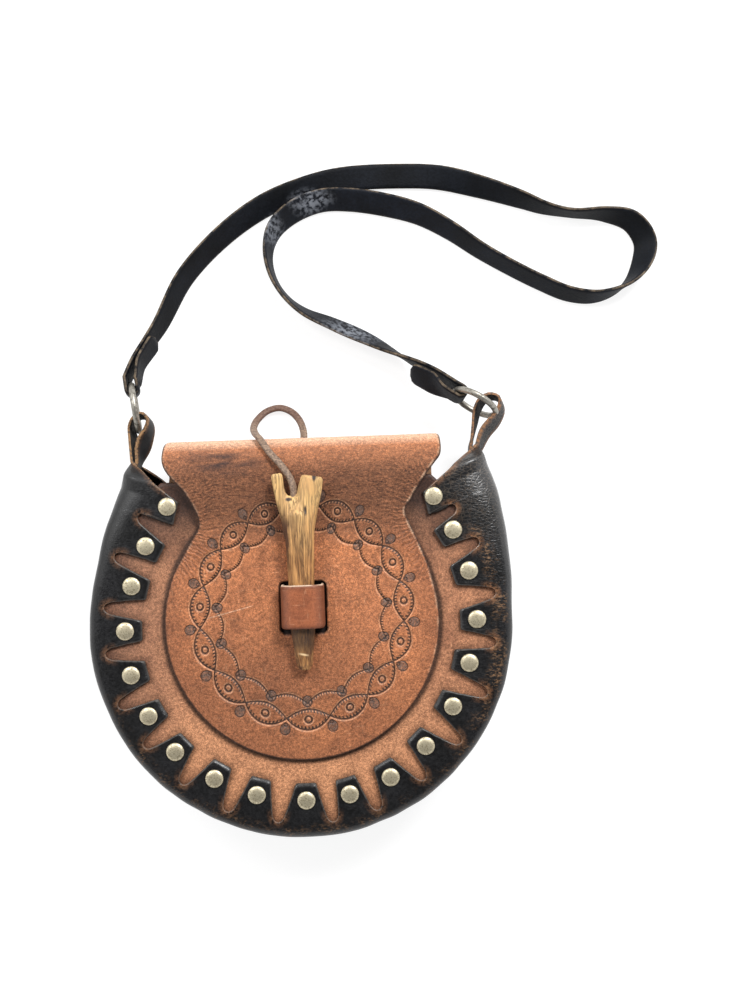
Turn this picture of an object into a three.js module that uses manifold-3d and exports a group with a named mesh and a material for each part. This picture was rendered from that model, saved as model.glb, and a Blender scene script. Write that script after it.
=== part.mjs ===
// A round leather satchel lying on its back, with its shoulder strap laid out on the same surface.
// The origin is the middle of the back panel on that surface. +Z is up, out of the front of the bag,
// and +Y points at the fold on top of the bag.
import * as THREE from 'three';
import { mergeVertices } from 'three/addons/utils/BufferGeometryUtils.js';
import Module from 'manifold-3d';

const wasm = await Module();
wasm.setup();

// Driving dimensions in millimetres, angles in degrees

// Clearance between neighbours, and the thickness of each leather
const GAP = 0.3;
const PANEL_LEATHER = 2.4;
const GUSSET_LEATHER = 2.2;
const STRAP_LEATHER = 2.5;
const KEEPER_LEATHER = 2.2;

// Front and back panels: heights are those of the middle of the leather
const PANEL_RADIUS = 124.4;
const MOUTH_Y = 92;
const FRONT_RIM_Z = 52.9;
const FRONT_CROWN = 2.4;
const FRONT_CROWN_RADIUS = 97;
const FRONT_CROWN_SHARES = [0, 0.35, 0.65, 1];
const BACK_Z = PANEL_LEATHER / 2;
const BACK_RIM_Z = BACK_Z + 4.6;
const BACK_FLAT_RADIUS = 70;
const BACK_RIM_RADIUS = 87;

// Fold over the top of the bag, and the flap that hangs from it
const FOLD_Y = 90.1;
const FOLD_RADIUS = 26.7;
const FOLD_TOP_Z = BACK_RIM_Z + 2 * FOLD_RADIUS;
const BACK_NECK_HALF = 87;
const FLAP_RISE_Y = 32.3;
const FLAP_RADIUS = 85;
const FLAP_CENTRE_X = 1.2;
const FLAP_CENTRE_Y = 2.6;

// The flap's two sides, from its straight neck, round the bites, to where its disc begins
const FLAP_SIDES = [
  { y: 105, left: -82.5, right: 90.5 },
  { y: 98, left: -79.4, right: 85.6 },
  { y: 86, left: -69, right: 76.6 },
  { y: 77.5, left: -64, right: 71.4 },
  { y: 70, left: -60.8, right: 67.2 },
  { y: 64, left: -60.6, right: 68.9 },
  { y: 53, left: -67, right: 73.8 },
  { y: 34, left: -77.8, right: 81 },
];

// Gusset teeth from the left end, round the bottom, to the right end: the swing of the tooth's rivet
// from the bottom of the bag, and the rivet's reach from the bag's middle. The left strip has
// the first SEAM_TOOTH teeth, and the right strip the others
const TEETH = [
  { swing: -134, reach: 111 },
  { swing: -119.5, reach: 108 },
  { swing: -105.5, reach: 107.5 },
  { swing: -90.5, reach: 108.5 },
  { swing: -76, reach: 109 },
  { swing: -61.5, reach: 109 },
  { swing: -47, reach: 109.5 },
  { swing: -31.5, reach: 108 },
  { swing: -16.5, reach: 107.5 },
  { swing: 0, reach: 107.5 },
  { swing: 14.5, reach: 108 },
  { swing: 29, reach: 108.5 },
  { swing: 44.5, reach: 107 },
  { swing: 60.5, reach: 106.5 },
  { swing: 76, reach: 107 },
  { swing: 90.5, reach: 109.5 },
  { swing: 106.5, reach: 110 },
  { swing: 120.5, reach: 112 },
  { swing: 132.5, reach: 115.5 },
];
const SEAM_TOOTH = 10;
const TIP_AHEAD = 10.4;
const END_TIP_AHEAD = 3;
const TIP_WIDTH = 12.4;
const ROOT_RADIUS = 122.5;
const ROOT_WIDTH = 7.4;
const SHOULDER_RADIUS = 124.8;
const WALL_RADIUS = 131;
const GUSSET_TOP_Z = FRONT_RIM_Z + PANEL_LEATHER / 2 + GAP + GUSSET_LEATHER / 2;
const GUSSET_LOW_Z = BACK_RIM_Z - PANEL_LEATHER / 2 - GAP - GUSSET_LEATHER / 2;
const GUSSET_MID_Z = (GUSSET_TOP_Z + GUSSET_LOW_Z) / 2;
const WALL_TOP_Z = GUSSET_TOP_Z - (WALL_RADIUS - SHOULDER_RADIUS);
const SLANT_START = 105;
const SLANT_END = 141;
const SLANT = 10;
const END_WALL_HALF = 12;
const ROLL_SHARE = 0.9;
const TAPER_CLEAR = 0.46;
const TAB_HALF = 6.5;
const TAB_SPLAY = 5;
const PINCH_SPLAY = 0.4;

// Each end of the gusset: how far its wall flares out, and the way its tab takes, seen from above,
// from the tab's inner end, through the ring and back to where the gusset pinches in. The outside of
// the tab's loop is on the right of its way (1) or on the left (-1)
const GUSSET_ENDS = {
  left: {
    flare: 14,
    flareStart: 104,
    outside: 1,
    tab: [
      [-106.9, 89.1], [-104.2, 97.4], [-101.6, 106], [-98, 113.5], [-95.8, 121.5], [-96.2, 129],
      [-98.6, 133.6], [-102.4, 133.8], [-105.4, 130], [-106.4, 122], [-105.6, 114], [-104.5, 106.5],
    ],
  },
  right: {
    flare: 26.5,
    flareStart: 90,
    outside: -1,
    tab: [
      [118.4, 88.5], [114.4, 97.3], [110.6, 106.2], [113.2, 116], [117.2, 124.5], [122.2, 131.8],
      [126, 137.4], [130.6, 138.3], [133.8, 133.5], [132.5, 126], [127, 118.5], [120, 111.8], [113.6, 107.3],
    ],
  },
};
const FLARE_END = 133;
const FLARE_POWER = 1.6;

// Rivets through the teeth
const RIVET_CAP_RADIUS = 5.65;
const RIVET_CAP_HEIGHT = 1.5;
const RIVET_BROW_RADIUS = 4.5;
const RIVET_BROW_HEIGHT = 1.1;
const RIVET_SHANK_RADIUS = 1.6;
const RIVET_SIDES = 8;
const RIVET_HOLE_SIDES = 6;

// Rings: the heading runs in the ring's plane from the tab to the strap, and tilt leans the plane over
const RING_WIRE = 4;
const RING_RADIUS = 14.7;
const RING_WIRE_SIDES = 6;
const RING_SIDES = 16;
const RINGS = {
  left: { x: -102.3, y: 140.8, heading: 97.2, tilt: 82 },
  right: { x: 115.1, y: 136.9, heading: 148.4, tilt: 76 },
};

// Shoulder strap: one row for each section of its way from the left ring to the right one.
// lean is the turn of its width from flat (0) through standing on edge (90) to flat again (180),
// and lift raises it off the surface
const STRAP_WIDTH = 16;
const STRAP_FOLD_BACK = 38;
const STRAP_TURN = RING_WIRE / 2 + GAP + STRAP_LEATHER / 2;
const STRAP_TURN_STEPS = 4;
const STRAP_WAY = [
  { x: -102.4, y: 171, lean: 82, lift: 16 },
  { x: -87.5, y: 196.0, lean: 62, lift: 4 },
  { x: -70.7, y: 227.5, lean: 53, lift: 0 },
  { x: -45.5, y: 253.5, lean: 46, lift: 0 },
  { x: -18.5, y: 272.3, lean: 34, lift: 0 },
  { x: 6.8, y: 282.6, lean: 24, lift: 0 },
  { x: 33.3, y: 288.9, lean: 14, lift: 0 },
  { x: 72.8, y: 290.1, lean: 8, lift: 0 },
  { x: 99.0, y: 287.9, lean: 16, lift: 0 },
  { x: 125.0, y: 280.4, lean: 40, lift: 0 },
  { x: 151.0, y: 271.0, lean: 60, lift: 0 },
  { x: 167.2, y: 264.5, lean: 74, lift: 0 },
  { x: 184.8, y: 260.6, lean: 88, lift: 0 },
  { x: 206.4, y: 259.2, lean: 68, lift: 0 },
  { x: 224.0, y: 254.0, lean: 42, lift: 0 },
  { x: 232.7, y: 240.5, lean: 28, lift: 0 },
  { x: 228.8, y: 224.9, lean: 48, lift: 0 },
  { x: 217.9, y: 212.1, lean: 86, lift: 0 },
  { x: 199.9, y: 205.5, lean: 112, lift: 0 },
  { x: 181.6, y: 207.5, lean: 117, lift: 0 },
  { x: 162.2, y: 216.1, lean: 117, lift: 0 },
  { x: 142.8, y: 226.6, lean: 117, lift: 0 },
  { x: 123.5, y: 238.4, lean: 119, lift: 0 },
  { x: 104.3, y: 252.2, lean: 126, lift: 0 },
  { x: 85.0, y: 263.4, lean: 136, lift: 0 },
  { x: 65.5, y: 270.0, lean: 146, lift: 0 },
  { x: 39.4, y: 274.9, lean: 148, lift: 0 },
  { x: 19.7, y: 274.9, lean: 146, lift: 0 },
  { x: 1.0, y: 267.7, lean: 140, lift: 0 },
  { x: -11.2, y: 256.3, lean: 124, lift: 0 },
  { x: -15.6, y: 242.0, lean: 104, lift: 0 },
  { x: -13.5, y: 226.8, lean: 98, lift: 0 },
  { x: -6.1, y: 213.4, lean: 98, lift: 0 },
  { x: 6.0, y: 202.5, lean: 106, lift: 0 },
  { x: 25.3, y: 192.6, lean: 120, lift: 0 },
  { x: 47.9, y: 181.3, lean: 116, lift: 0 },
  { x: 68.6, y: 170.0, lean: 92, lift: 2 },
  { x: 88.2, y: 158.5, lean: 68, lift: 12 },
];

// Toggle: a forked twig. Its shaft's radii run from the tip up to the fork, it is flatter than wide,
// and it tilts up towards the fold
const TOGGLE_X = 2.2;
const TOGGLE_Z = 65.46;
const TOGGLE_TILT = 1.77;
const TOGGLE_FLATNESS = 0.78;
const TOGGLE_SIDES = 10;
const TOGGLE_GRIP_RADIUS = 8.2;
const TOGGLE_SHAFT = [
  { y: -26, radius: 3.6 },
  { y: -23, radius: 5.0 },
  { y: -2, radius: 7.8 },
  { y: 28, radius: TOGGLE_GRIP_RADIUS },
  { y: 46, radius: 8.8 },
  { y: 66, radius: 10.0 },
  { y: 72, radius: 7.0 },
];
const TOGGLE_PRONGS = [
  { fromX: -1, fromY: 62, fromRadius: 8.2, toX: -10.5, toY: 95, toRadius: 3.8 },
  { fromX: 4.4, fromY: 58, fromRadius: 9, toX: 11.2, toY: 92.5, toRadius: 7.1 },
];
const PRONG_TIP_LENGTH = 0.33;
const PRONG_TIP_RADIUS = 0.7;
const SOCKET_X = -0.5;
const SOCKET_Y = 74;

// Keeper: a loop of leather through the flap's hole, its feet turned out inside the front panel
const KEEPER_X = 2.5;
const KEEPER_Y = 13.5;
const KEEPER_SPAN = 26.5;
const KEEPER_LENGTH = 26.5;
const KEEPER_FOOT = 9;
const KEEPER_BEND = 1.6;
const KEEPER_CORNER = 7;
const KEEPER_HOLE = { width: 28.8, length: 32, corner: 3, y: 12.2 };

// Thong from a knot inside the fold to the toggle's fork. It leaves the fold square to the leather
const THONG_DIAMETER = 3.9;
const THONG_SIDES = 8;
const THONG_STEPS = 20;
const THONG_X = 4.2;
const THONG_FOLD_ANGLE = 65;
const THONG_KNOT_RADIUS = 3.8;
const THONG_KNOT_RINGS = 6;
const THONG_WAY = [
  [4, 122.8, 15.8], [1, 131, 9], [-4.5, 137, 4.5], [-12, 139.8, 2.6], [-20, 138, 3], [-26, 132.5, 8],
  [-28, 126.5, 19], [-26, 121.8, 32], [-22, 117.6, 46.4], [-15, 108, 57.6], [-8, 100.2, 63],
  [-2.6, 92, 67.1], [-0.6, 85.5, 68.1], [-0.5, 76, 67.8],
];

// Grid steps of the leather walls
const PANEL_SIDES = 36;
const FLAP_COLUMNS = 10;
const FOLD_ROWS = 8;
const FLAP_ROWS = 7;
const EDGE_ANGLE = 84;
const TAB_STATIONS = 11;
const GUSSET_POINTS = 7;
const STRAP_STEPS_PER_ROW = 2;
const CUT_DEPTH = 4 * PANEL_LEATHER;

// Small helpers
const radians = THREE.MathUtils.degToRad;
const degrees = THREE.MathUtils.radToDeg;
const lerp = THREE.MathUtils.lerp;
const clamp01 = (value) => THREE.MathUtils.clamp(value, 0, 1);
const smooth = (value) => THREE.MathUtils.smoothstep(value, 0, 1);

// A point of the bag by its radius and its swing, the angle from the bottom of the bag
function polar(radius, swing, z) {
  const angle = radians(270 + swing);
  return new THREE.Vector3(radius * Math.cos(angle), radius * Math.sin(angle), z);
}

function wallNormal(grid, column, row) {
  const before = grid[Math.max(column - 1, 0)][row];
  const after = grid[Math.min(column + 1, grid.length - 1)][row];
  const above = grid[column][Math.max(row - 1, 0)];
  const below = grid[column][Math.min(row + 1, grid[column].length - 1)];
  const along = after.clone().sub(before);
  const across = below.clone().sub(above);
  return along.cross(across).normalize();
}

// A leather wall: a thin box bent so that the middle of its thickness passes through a grid of points
function leatherWall(grid, thickness) {
  const columns = grid.length - 1;
  const rows = grid[0].length - 1;
  const geometry = new THREE.BoxGeometry(1, 1, 1, columns, rows, 1);
  const position = geometry.getAttribute('position');
  for (let index = 0; index < position.count; index += 1) {
    const column = Math.round((position.getX(index) + 0.5) * columns);
    const row = Math.round((position.getY(index) + 0.5) * rows);
    const point = wallNormal(grid, column, row);
    point.multiplyScalar(position.getZ(index) * thickness).add(grid[column][row]);
    position.setXYZ(index, point.x, point.y, point.z);
  }
  return geometry;
}

function closedMesh(geometry) {
  const bare = geometry.clone();
  bare.deleteAttribute('normal');
  bare.deleteAttribute('uv');
  return mergeVertices(bare, 1e-4);
}

function toSolid(geometry) {
  const merged = closedMesh(geometry);
  return new wasm.Manifold(new wasm.Mesh({
    numProp: 3,
    vertProperties: new Float32Array(merged.getAttribute('position').array),
    triVerts: new Uint32Array(merged.index.array),
  }));
}

function toGeometry(solid) {
  const mesh = solid.getMesh();
  const geometry = new THREE.BufferGeometry();
  geometry.setAttribute('position', new THREE.BufferAttribute(mesh.vertProperties, 3));
  geometry.setIndex(new THREE.BufferAttribute(mesh.triVerts, 1));
  geometry.computeVertexNormals();
  return geometry;
}

function cut(geometry, tools) {
  let solid = toSolid(geometry);
  for (const tool of tools) {
    solid = solid.subtract(toSolid(tool));
  }
  return toGeometry(solid);
}

function join(geometries) {
  let solid = toSolid(geometries[0]);
  for (const geometry of geometries.slice(1)) {
    solid = solid.add(toSolid(geometry));
  }
  return toGeometry(solid);
}

// Materials
const leather = (color, roughness) => new THREE.MeshStandardMaterial({ color, roughness, metalness: 0 });
const tanLeather = () => leather(0x8c4e24, 0.5);
const blackLeather = () => leather(0x1d1a19, 0.45);
const redBrownLeather = () => leather(0x7a3c20, 0.5);
const laceLeather = () => leather(0x5f3b22, 0.6);
const twigWood = () => leather(0xb98549, 0.55);
const nickel = () => new THREE.MeshStandardMaterial({ color: 0xb9b2a2, roughness: 0.35, metalness: 1 });

const satchel = new THREE.Group();

function addPiece(name, geometry, material) {
  const mesh = new THREE.Mesh(geometry, material);
  mesh.name = name;
  satchel.add(mesh);
  return mesh;
}

// Heights of the middle of the leather
function frontLevel(x, y) {
  const inside = clamp01(1 - (x * x + y * y) / FRONT_CROWN_RADIUS ** 2);
  return FRONT_RIM_Z + FRONT_CROWN * inside ** 2;
}

// A round panel turned about the bag's middle, cut straight across at the top
function roundPanel(levels, topY) {
  const under = levels.map(({ radius, z }) => new THREE.Vector2(radius, z - PANEL_LEATHER / 2));
  const over = levels.map(({ radius, z }) => new THREE.Vector2(radius, z + PANEL_LEATHER / 2));
  const disc = new THREE.LatheGeometry([...under, ...over.reverse()], PANEL_SIDES).rotateX(Math.PI / 2);
  const top = new THREE.BoxGeometry(4 * PANEL_RADIUS, PANEL_RADIUS, 2 * FOLD_TOP_Z);
  return cut(disc, [top.translate(0, topY + PANEL_RADIUS / 2, 0)]);
}

// Spreads each row's points evenly from its left edge to its right one
function rowGrid(rows) {
  const grid = [];
  for (let column = 0; column <= FLAP_COLUMNS; column += 1) {
    grid.push(rows.map(({ y, left, right, level }) => {
      const x = lerp(left, right, column / FLAP_COLUMNS);
      return new THREE.Vector3(x, y, level(x));
    }));
  }
  return grid;
}

function rivetHole({ swing, reach }, middleZ) {
  const hole = new THREE.CylinderGeometry(
    RIVET_SHANK_RADIUS + GAP, RIVET_SHANK_RADIUS + GAP, CUT_DEPTH, RIVET_HOLE_SIDES,
  );
  const place = polar(reach, swing, middleZ);
  return hole.rotateX(Math.PI / 2).translate(place.x, place.y, place.z);
}

// Front panel
function frontPanel() {
  const levels = FRONT_CROWN_SHARES.map((share) => {
    const radius = share * FRONT_CROWN_RADIUS;
    return { radius, z: frontLevel(radius, 0) };
  });
  levels.push({ radius: PANEL_RADIUS, z: FRONT_RIM_Z });
  const holes = TEETH.map((tooth) => rivetHole(tooth, FRONT_RIM_Z));
  const legX = (KEEPER_SPAN - KEEPER_LEATHER) / 2;
  const slits = [-legX, legX].map((x) => {
    const slit = new THREE.BoxGeometry(KEEPER_LEATHER + 2 * GAP, KEEPER_LENGTH + 2 * GAP, CUT_DEPTH);
    return slit.translate(KEEPER_X + x, KEEPER_Y, frontLevel(0, 0));
  });
  return cut(roundPanel(levels, MOUTH_Y), [...holes, ...slits]);
}

// The neck's two sides at a height, straight between the rows of their table
function neckSides(y) {
  const below = FLAP_SIDES.findIndex((row) => row.y <= y);
  if (below <= 0) {
    return FLAP_SIDES[0];
  }
  const upper = FLAP_SIDES[below - 1];
  const lower = FLAP_SIDES[below];
  const share = (upper.y - y) / (upper.y - lower.y);
  return { left: lerp(upper.left, lower.left, share), right: lerp(upper.right, lower.right, share) };
}

// The flap lies on the front panel and rises to the fold, where it no longer follows the crown sideways
function flapLevel(x, y) {
  const rise = smooth((y - FLAP_RISE_Y) / (FOLD_Y - FLAP_RISE_Y));
  return lerp(frontLevel(x, y) + PANEL_LEATHER + GAP, FOLD_TOP_Z, rise);
}

// Rows of leather from the top of the back panel, over the fold, to the front of the neck
function foldRows() {
  const back = { left: -BACK_NECK_HALF, right: BACK_NECK_HALF };
  const rows = [BACK_RIM_RADIUS, (BACK_RIM_RADIUS + FOLD_Y) / 2, FOLD_Y].map((y) => ({
    ...back,
    y,
    level: () => BACK_RIM_Z,
  }));
  for (let step = 1; step <= FOLD_ROWS; step += 1) {
    const turn = Math.PI * step / FOLD_ROWS;
    const y = FOLD_Y + FOLD_RADIUS * Math.sin(turn);
    const front = neckSides(y);
    const share = clamp01(2 * step / FOLD_ROWS);
    rows.push({
      y,
      left: lerp(back.left, front.left, share),
      right: lerp(back.right, front.right, share),
      level: () => BACK_RIM_Z + FOLD_RADIUS * (1 - Math.cos(turn)),
    });
  }
  return rows;
}

// Rows of leather from the neck down to the bottom of the flap
function flapRows() {
  const rows = FLAP_SIDES.filter(({ y }) => y < FOLD_Y);
  const discY = rows[rows.length - 1].y - FLAP_CENTRE_Y;
  const discAngle = degrees(Math.asin(discY / FLAP_RADIUS));
  for (let step = 1; step <= FLAP_ROWS; step += 1) {
    const angle = radians(lerp(discAngle, -EDGE_ANGLE, step / FLAP_ROWS));
    const half = FLAP_RADIUS * Math.cos(angle);
    rows.push({
      y: FLAP_CENTRE_Y + FLAP_RADIUS * Math.sin(angle),
      left: FLAP_CENTRE_X - half,
      right: FLAP_CENTRE_X + half,
    });
  }
  return rows.map((row) => ({ ...row, level: (x) => flapLevel(x, row.y) }));
}

function keeperHole() {
  const { width, length, corner, y } = KEEPER_HOLE;
  const outline = new THREE.Shape();
  const right = width / 2 - corner;
  const top = length / 2 - corner;
  outline.absarc(right, top, corner, 0, Math.PI / 2);
  outline.absarc(-right, top, corner, Math.PI / 2, Math.PI);
  outline.absarc(-right, -top, corner, Math.PI, 1.5 * Math.PI);
  outline.absarc(right, -top, corner, 1.5 * Math.PI, 2 * Math.PI);
  const settings = { depth: CUT_DEPTH, curveSegments: 3, bevelEnabled: false };
  const hole = new THREE.ExtrudeGeometry(outline, settings);
  return hole.translate(KEEPER_X, y, flapLevel(0, y) - CUT_DEPTH / 2);
}

// A point of the fold's leather by how far it stands from the fold's centre line
function foldPoint(x, turn, reach) {
  const y = FOLD_Y + reach * Math.sin(radians(turn));
  const z = BACK_RIM_Z + FOLD_RADIUS - reach * Math.cos(radians(turn));
  return new THREE.Vector3(x, y, z);
}

function thongHole() {
  const radius = THONG_DIAMETER / 2 + GAP;
  const hole = new THREE.CylinderGeometry(radius, radius, CUT_DEPTH, THONG_SIDES);
  const place = foldPoint(THONG_X, THONG_FOLD_ANGLE, FOLD_RADIUS);
  return hole.rotateX(radians(THONG_FOLD_ANGLE - 90)).translate(place.x, place.y, place.z);
}

// Back panel, fold and flap in one piece
function backAndFlap() {
  const levels = [
    { radius: 0, z: BACK_Z },
    { radius: BACK_FLAT_RADIUS, z: BACK_Z },
    { radius: BACK_RIM_RADIUS, z: BACK_RIM_Z },
    { radius: PANEL_RADIUS, z: BACK_RIM_Z },
  ];
  const strip = leatherWall(rowGrid([...foldRows(), ...flapRows()]), PANEL_LEATHER);
  const leather = join([roundPanel(levels, (BACK_RIM_RADIUS + FOLD_Y) / 2), strip]);
  const holes = TEETH.map((tooth) => rivetHole(tooth, BACK_RIM_Z));
  return cut(leather, [...holes, keeperHole(), thongHole()]);
}

// One section of the gusset from its front edge, over the roll and down the wall, to its back edge
function gussetSection(swing, reach) {
  const end = swing < 0 ? GUSSET_ENDS.left : GUSSET_ENDS.right;
  const bend = clamp01((Math.abs(swing) - SLANT_START) / (SLANT_END - SLANT_START)) ** 2;
  const wallSwing = swing - Math.sign(swing) * SLANT * bend;
  const flared = clamp01((Math.abs(wallSwing) - end.flareStart) / (FLARE_END - end.flareStart));
  const wallRadius = WALL_RADIUS + end.flare * flared ** FLARE_POWER;
  const edge = polar(reach, swing, GUSSET_TOP_Z);
  const corner = polar(wallRadius, wallSwing, GUSSET_TOP_Z);
  const wall = corner.clone().setZ(lerp(WALL_TOP_Z, GUSSET_MID_Z + END_WALL_HALF, bend));
  const inward = edge.clone().sub(corner);
  const rollReach = Math.min(wallRadius - SHOULDER_RADIUS, ROLL_SHARE * inward.length());
  const shoulder = corner.clone().add(inward.setLength(rollReach));
  const roll = new THREE.QuadraticBezierCurve3(shoulder, corner, wall).getPoint(0.5);
  const back = [wall, shoulder, edge].map((point) => point.clone().setZ(2 * GUSSET_MID_Z - point.z));
  return [edge, shoulder, roll, wall, ...back];
}

// The swing of the notch before a tooth
function notchSwing(tooth) {
  return (TEETH[tooth - 1].swing + TEETH[tooth].swing) / 2;
}

// Sections of a run of teeth. At the seam the run ends just short of the other strip
function toothSections(firstTooth, lastTooth) {
  const rootSwing = degrees(ROOT_WIDTH / 2 / ROOT_RADIUS);
  const seamSwing = degrees(GAP / 2 / ROOT_RADIUS);
  const sections = [];
  const add = (swing, reach) => sections.push(gussetSection(swing, reach));
  for (let tooth = firstTooth; tooth <= lastTooth; tooth += 1) {
    const { swing, reach } = TEETH[tooth];
    const tip = reach - TIP_AHEAD;
    const endTip = reach - END_TIP_AHEAD;
    const tipSwing = degrees(TIP_WIDTH / 2 / tip);
    if (tooth === SEAM_TOOTH) {
      add(notchSwing(tooth) + seamSwing, ROOT_RADIUS);
    }
    if (tooth > 0) {
      add(notchSwing(tooth) + rootSwing, ROOT_RADIUS);
    }
    add(swing - tipSwing, tooth === 0 ? endTip : tip);
    add(swing + tipSwing, tooth === TEETH.length - 1 ? endTip : tip);
    if (tooth < TEETH.length - 1) {
      add(notchSwing(tooth + 1) - rootSwing, ROOT_RADIUS);
    }
    if (tooth === SEAM_TOOTH - 1) {
      add(notchSwing(tooth + 1) - seamSwing, ROOT_RADIUS);
    }
  }
  return sections;
}

// Tab sections stand upright along the tab's way. On the loop's right side the lower half splays out
function tabSections(end) {
  const way = new THREE.CatmullRomCurve3(end.tab.map(([x, y]) => new THREE.Vector3(x, y, 0)));
  const spots = way.getSpacedPoints(TAB_STATIONS);
  return spots.map((spot, station) => {
    const along = station / TAB_STATIONS;
    const travel = way.getTangentAt(along);
    const outward = new THREE.Vector2(travel.y, -travel.x).multiplyScalar(end.outside);
    const held = smooth(3 * along) * lerp(PINCH_SPLAY, 1, smooth(3 * (1 - along)));
    const splay = TAB_SPLAY * Math.max(outward.x, 0) * held;
    const section = [];
    for (let point = 0; point < GUSSET_POINTS; point += 1) {
      const drop = 2 * point / (GUSSET_POINTS - 1) - 1;
      const out = splay * Math.max(drop, 0);
      const z = GUSSET_MID_Z - TAB_HALF * drop;
      section.push(new THREE.Vector3(spot.x + outward.x * out, spot.y + outward.y * out, z));
    }
    return section;
  });
}

// Between the last tooth and the pinch the section narrows. It clears the panel before it drops
function taperSections(toothSection, pinchSection) {
  return [TAPER_CLEAR, (1 + TAPER_CLEAR) / 2].map((along) => toothSection.map((point, index) => {
    const spot = point.clone().lerp(pinchSection[index], along);
    const drop = smooth((along - TAPER_CLEAR) / (1 - TAPER_CLEAR));
    return spot.setZ(lerp(point.z, pinchSection[index].z, drop));
  }));
}

function gussetHoles(firstTooth, lastTooth) {
  return TEETH.slice(firstTooth, lastTooth + 1).flatMap((tooth) => [
    rivetHole(tooth, GUSSET_TOP_Z),
    rivetHole(tooth, GUSSET_LOW_Z),
  ]);
}

// The left strip of the gusset, from its ring to the seam
function leftGusset() {
  const teeth = toothSections(0, SEAM_TOOTH - 1);
  const tab = tabSections(GUSSET_ENDS.left);
  const taper = taperSections(teeth[0], tab[tab.length - 1]);
  const strip = leatherWall([...tab, ...taper.reverse(), ...teeth], GUSSET_LEATHER);
  return cut(strip, gussetHoles(0, SEAM_TOOTH - 1));
}

// The right strip of the gusset, from the seam to its ring
function rightGusset() {
  const teeth = toothSections(SEAM_TOOTH, TEETH.length - 1);
  const tab = tabSections(GUSSET_ENDS.right);
  const taper = taperSections(teeth[teeth.length - 1], tab[tab.length - 1]);
  const strip = leatherWall([...teeth, ...taper, ...tab.reverse()], GUSSET_LEATHER);
  return cut(strip, gussetHoles(SEAM_TOOTH, TEETH.length - 1));
}

// Rivet: a low cap on a shank that goes through the tooth and the panel
function rivet() {
  const shank = GUSSET_LEATHER + PANEL_LEATHER + 3 * GAP;
  const profile = [
    [0, -shank], [RIVET_SHANK_RADIUS, -shank], [RIVET_SHANK_RADIUS, 0], [RIVET_CAP_RADIUS, 0],
    [RIVET_BROW_RADIUS, RIVET_BROW_HEIGHT], [0, RIVET_CAP_HEIGHT],
  ].map(([radius, height]) => new THREE.Vector2(radius, height));
  return new THREE.LatheGeometry(profile, RIVET_SIDES).rotateX(Math.PI / 2);
}

function addRivets() {
  const seat = GUSSET_LEATHER / 2 + GAP / 2;
  TEETH.forEach(({ swing, reach }, index) => {
    const number = String(index + 1).padStart(2, '0');
    const front = addPiece(`rivet_front_${number}`, rivet(), nickel());
    front.position.copy(polar(reach, swing, GUSSET_TOP_Z + seat));
    const back = addPiece(`rivet_back_${number}`, rivet(), nickel());
    back.position.copy(polar(reach, swing, GUSSET_LOW_Z - seat));
    back.rotation.x = Math.PI;
  });
}

// The ring's own axes: ahead points at the strap, and up lies in the ring's plane
function ringAxes({ heading, tilt }) {
  const ahead = new THREE.Vector3(Math.cos(radians(heading)), Math.sin(radians(heading)), 0);
  const sideways = new THREE.Vector3(ahead.y, -ahead.x, 0);
  const up = new THREE.Vector3(0, 0, Math.sin(radians(tilt))).addScaledVector(sideways, Math.cos(radians(tilt)));
  return { ahead, up, normal: ahead.clone().cross(up) };
}

function addRings() {
  for (const [side, ring] of Object.entries(RINGS)) {
    const { ahead, up, normal } = ringAxes(ring);
    const torus = new THREE.TorusGeometry(RING_RADIUS, RING_WIRE / 2, RING_WIRE_SIDES, RING_SIDES);
    const mesh = addPiece(`ring_${side}`, torus, nickel());
    mesh.quaternion.setFromRotationMatrix(new THREE.Matrix4().makeBasis(ahead, up, normal));
    mesh.position.set(ring.x, ring.y, GUSSET_MID_Z);
  }
}

// Height of the strap's middle when it lies on the surface at a lean
function strapRest(lean) {
  const upright = Math.abs(Math.sin(radians(lean)));
  const flat = Math.abs(Math.cos(radians(lean)));
  return (STRAP_WIDTH * upright + STRAP_LEATHER * flat) / 2 + GAP;
}

// The strap's end turns round the ring's wire, drawn in as far as the ring's bend lets its edges,
// and passes the wire on both sides
function strapFold(ring, outward) {
  const { ahead, up } = ringAxes(ring);
  const face = up.clone().cross(ahead).multiplyScalar(outward);
  const inner = RING_RADIUS - RING_WIRE / 2;
  const sag = inner - Math.sqrt(inner ** 2 - (STRAP_WIDTH / 2) ** 2);
  const centre = new THREE.Vector3(ring.x, ring.y, GUSSET_MID_Z).addScaledVector(ahead, RING_RADIUS - sag);
  const section = (side, along) => ({
    point: centre.clone().addScaledVector(face, side).addScaledVector(ahead, along),
    across: up,
  });
  const passed = sag + RING_WIRE / 2 + GAP;
  const sections = [section(STRAP_TURN, passed)];
  for (let step = 0; step <= STRAP_TURN_STEPS; step += 1) {
    const turn = Math.PI * step / STRAP_TURN_STEPS;
    sections.push(section(STRAP_TURN * Math.cos(turn), -STRAP_TURN * Math.sin(turn)));
  }
  sections.push(section(-STRAP_TURN, passed));
  return sections;
}

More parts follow.
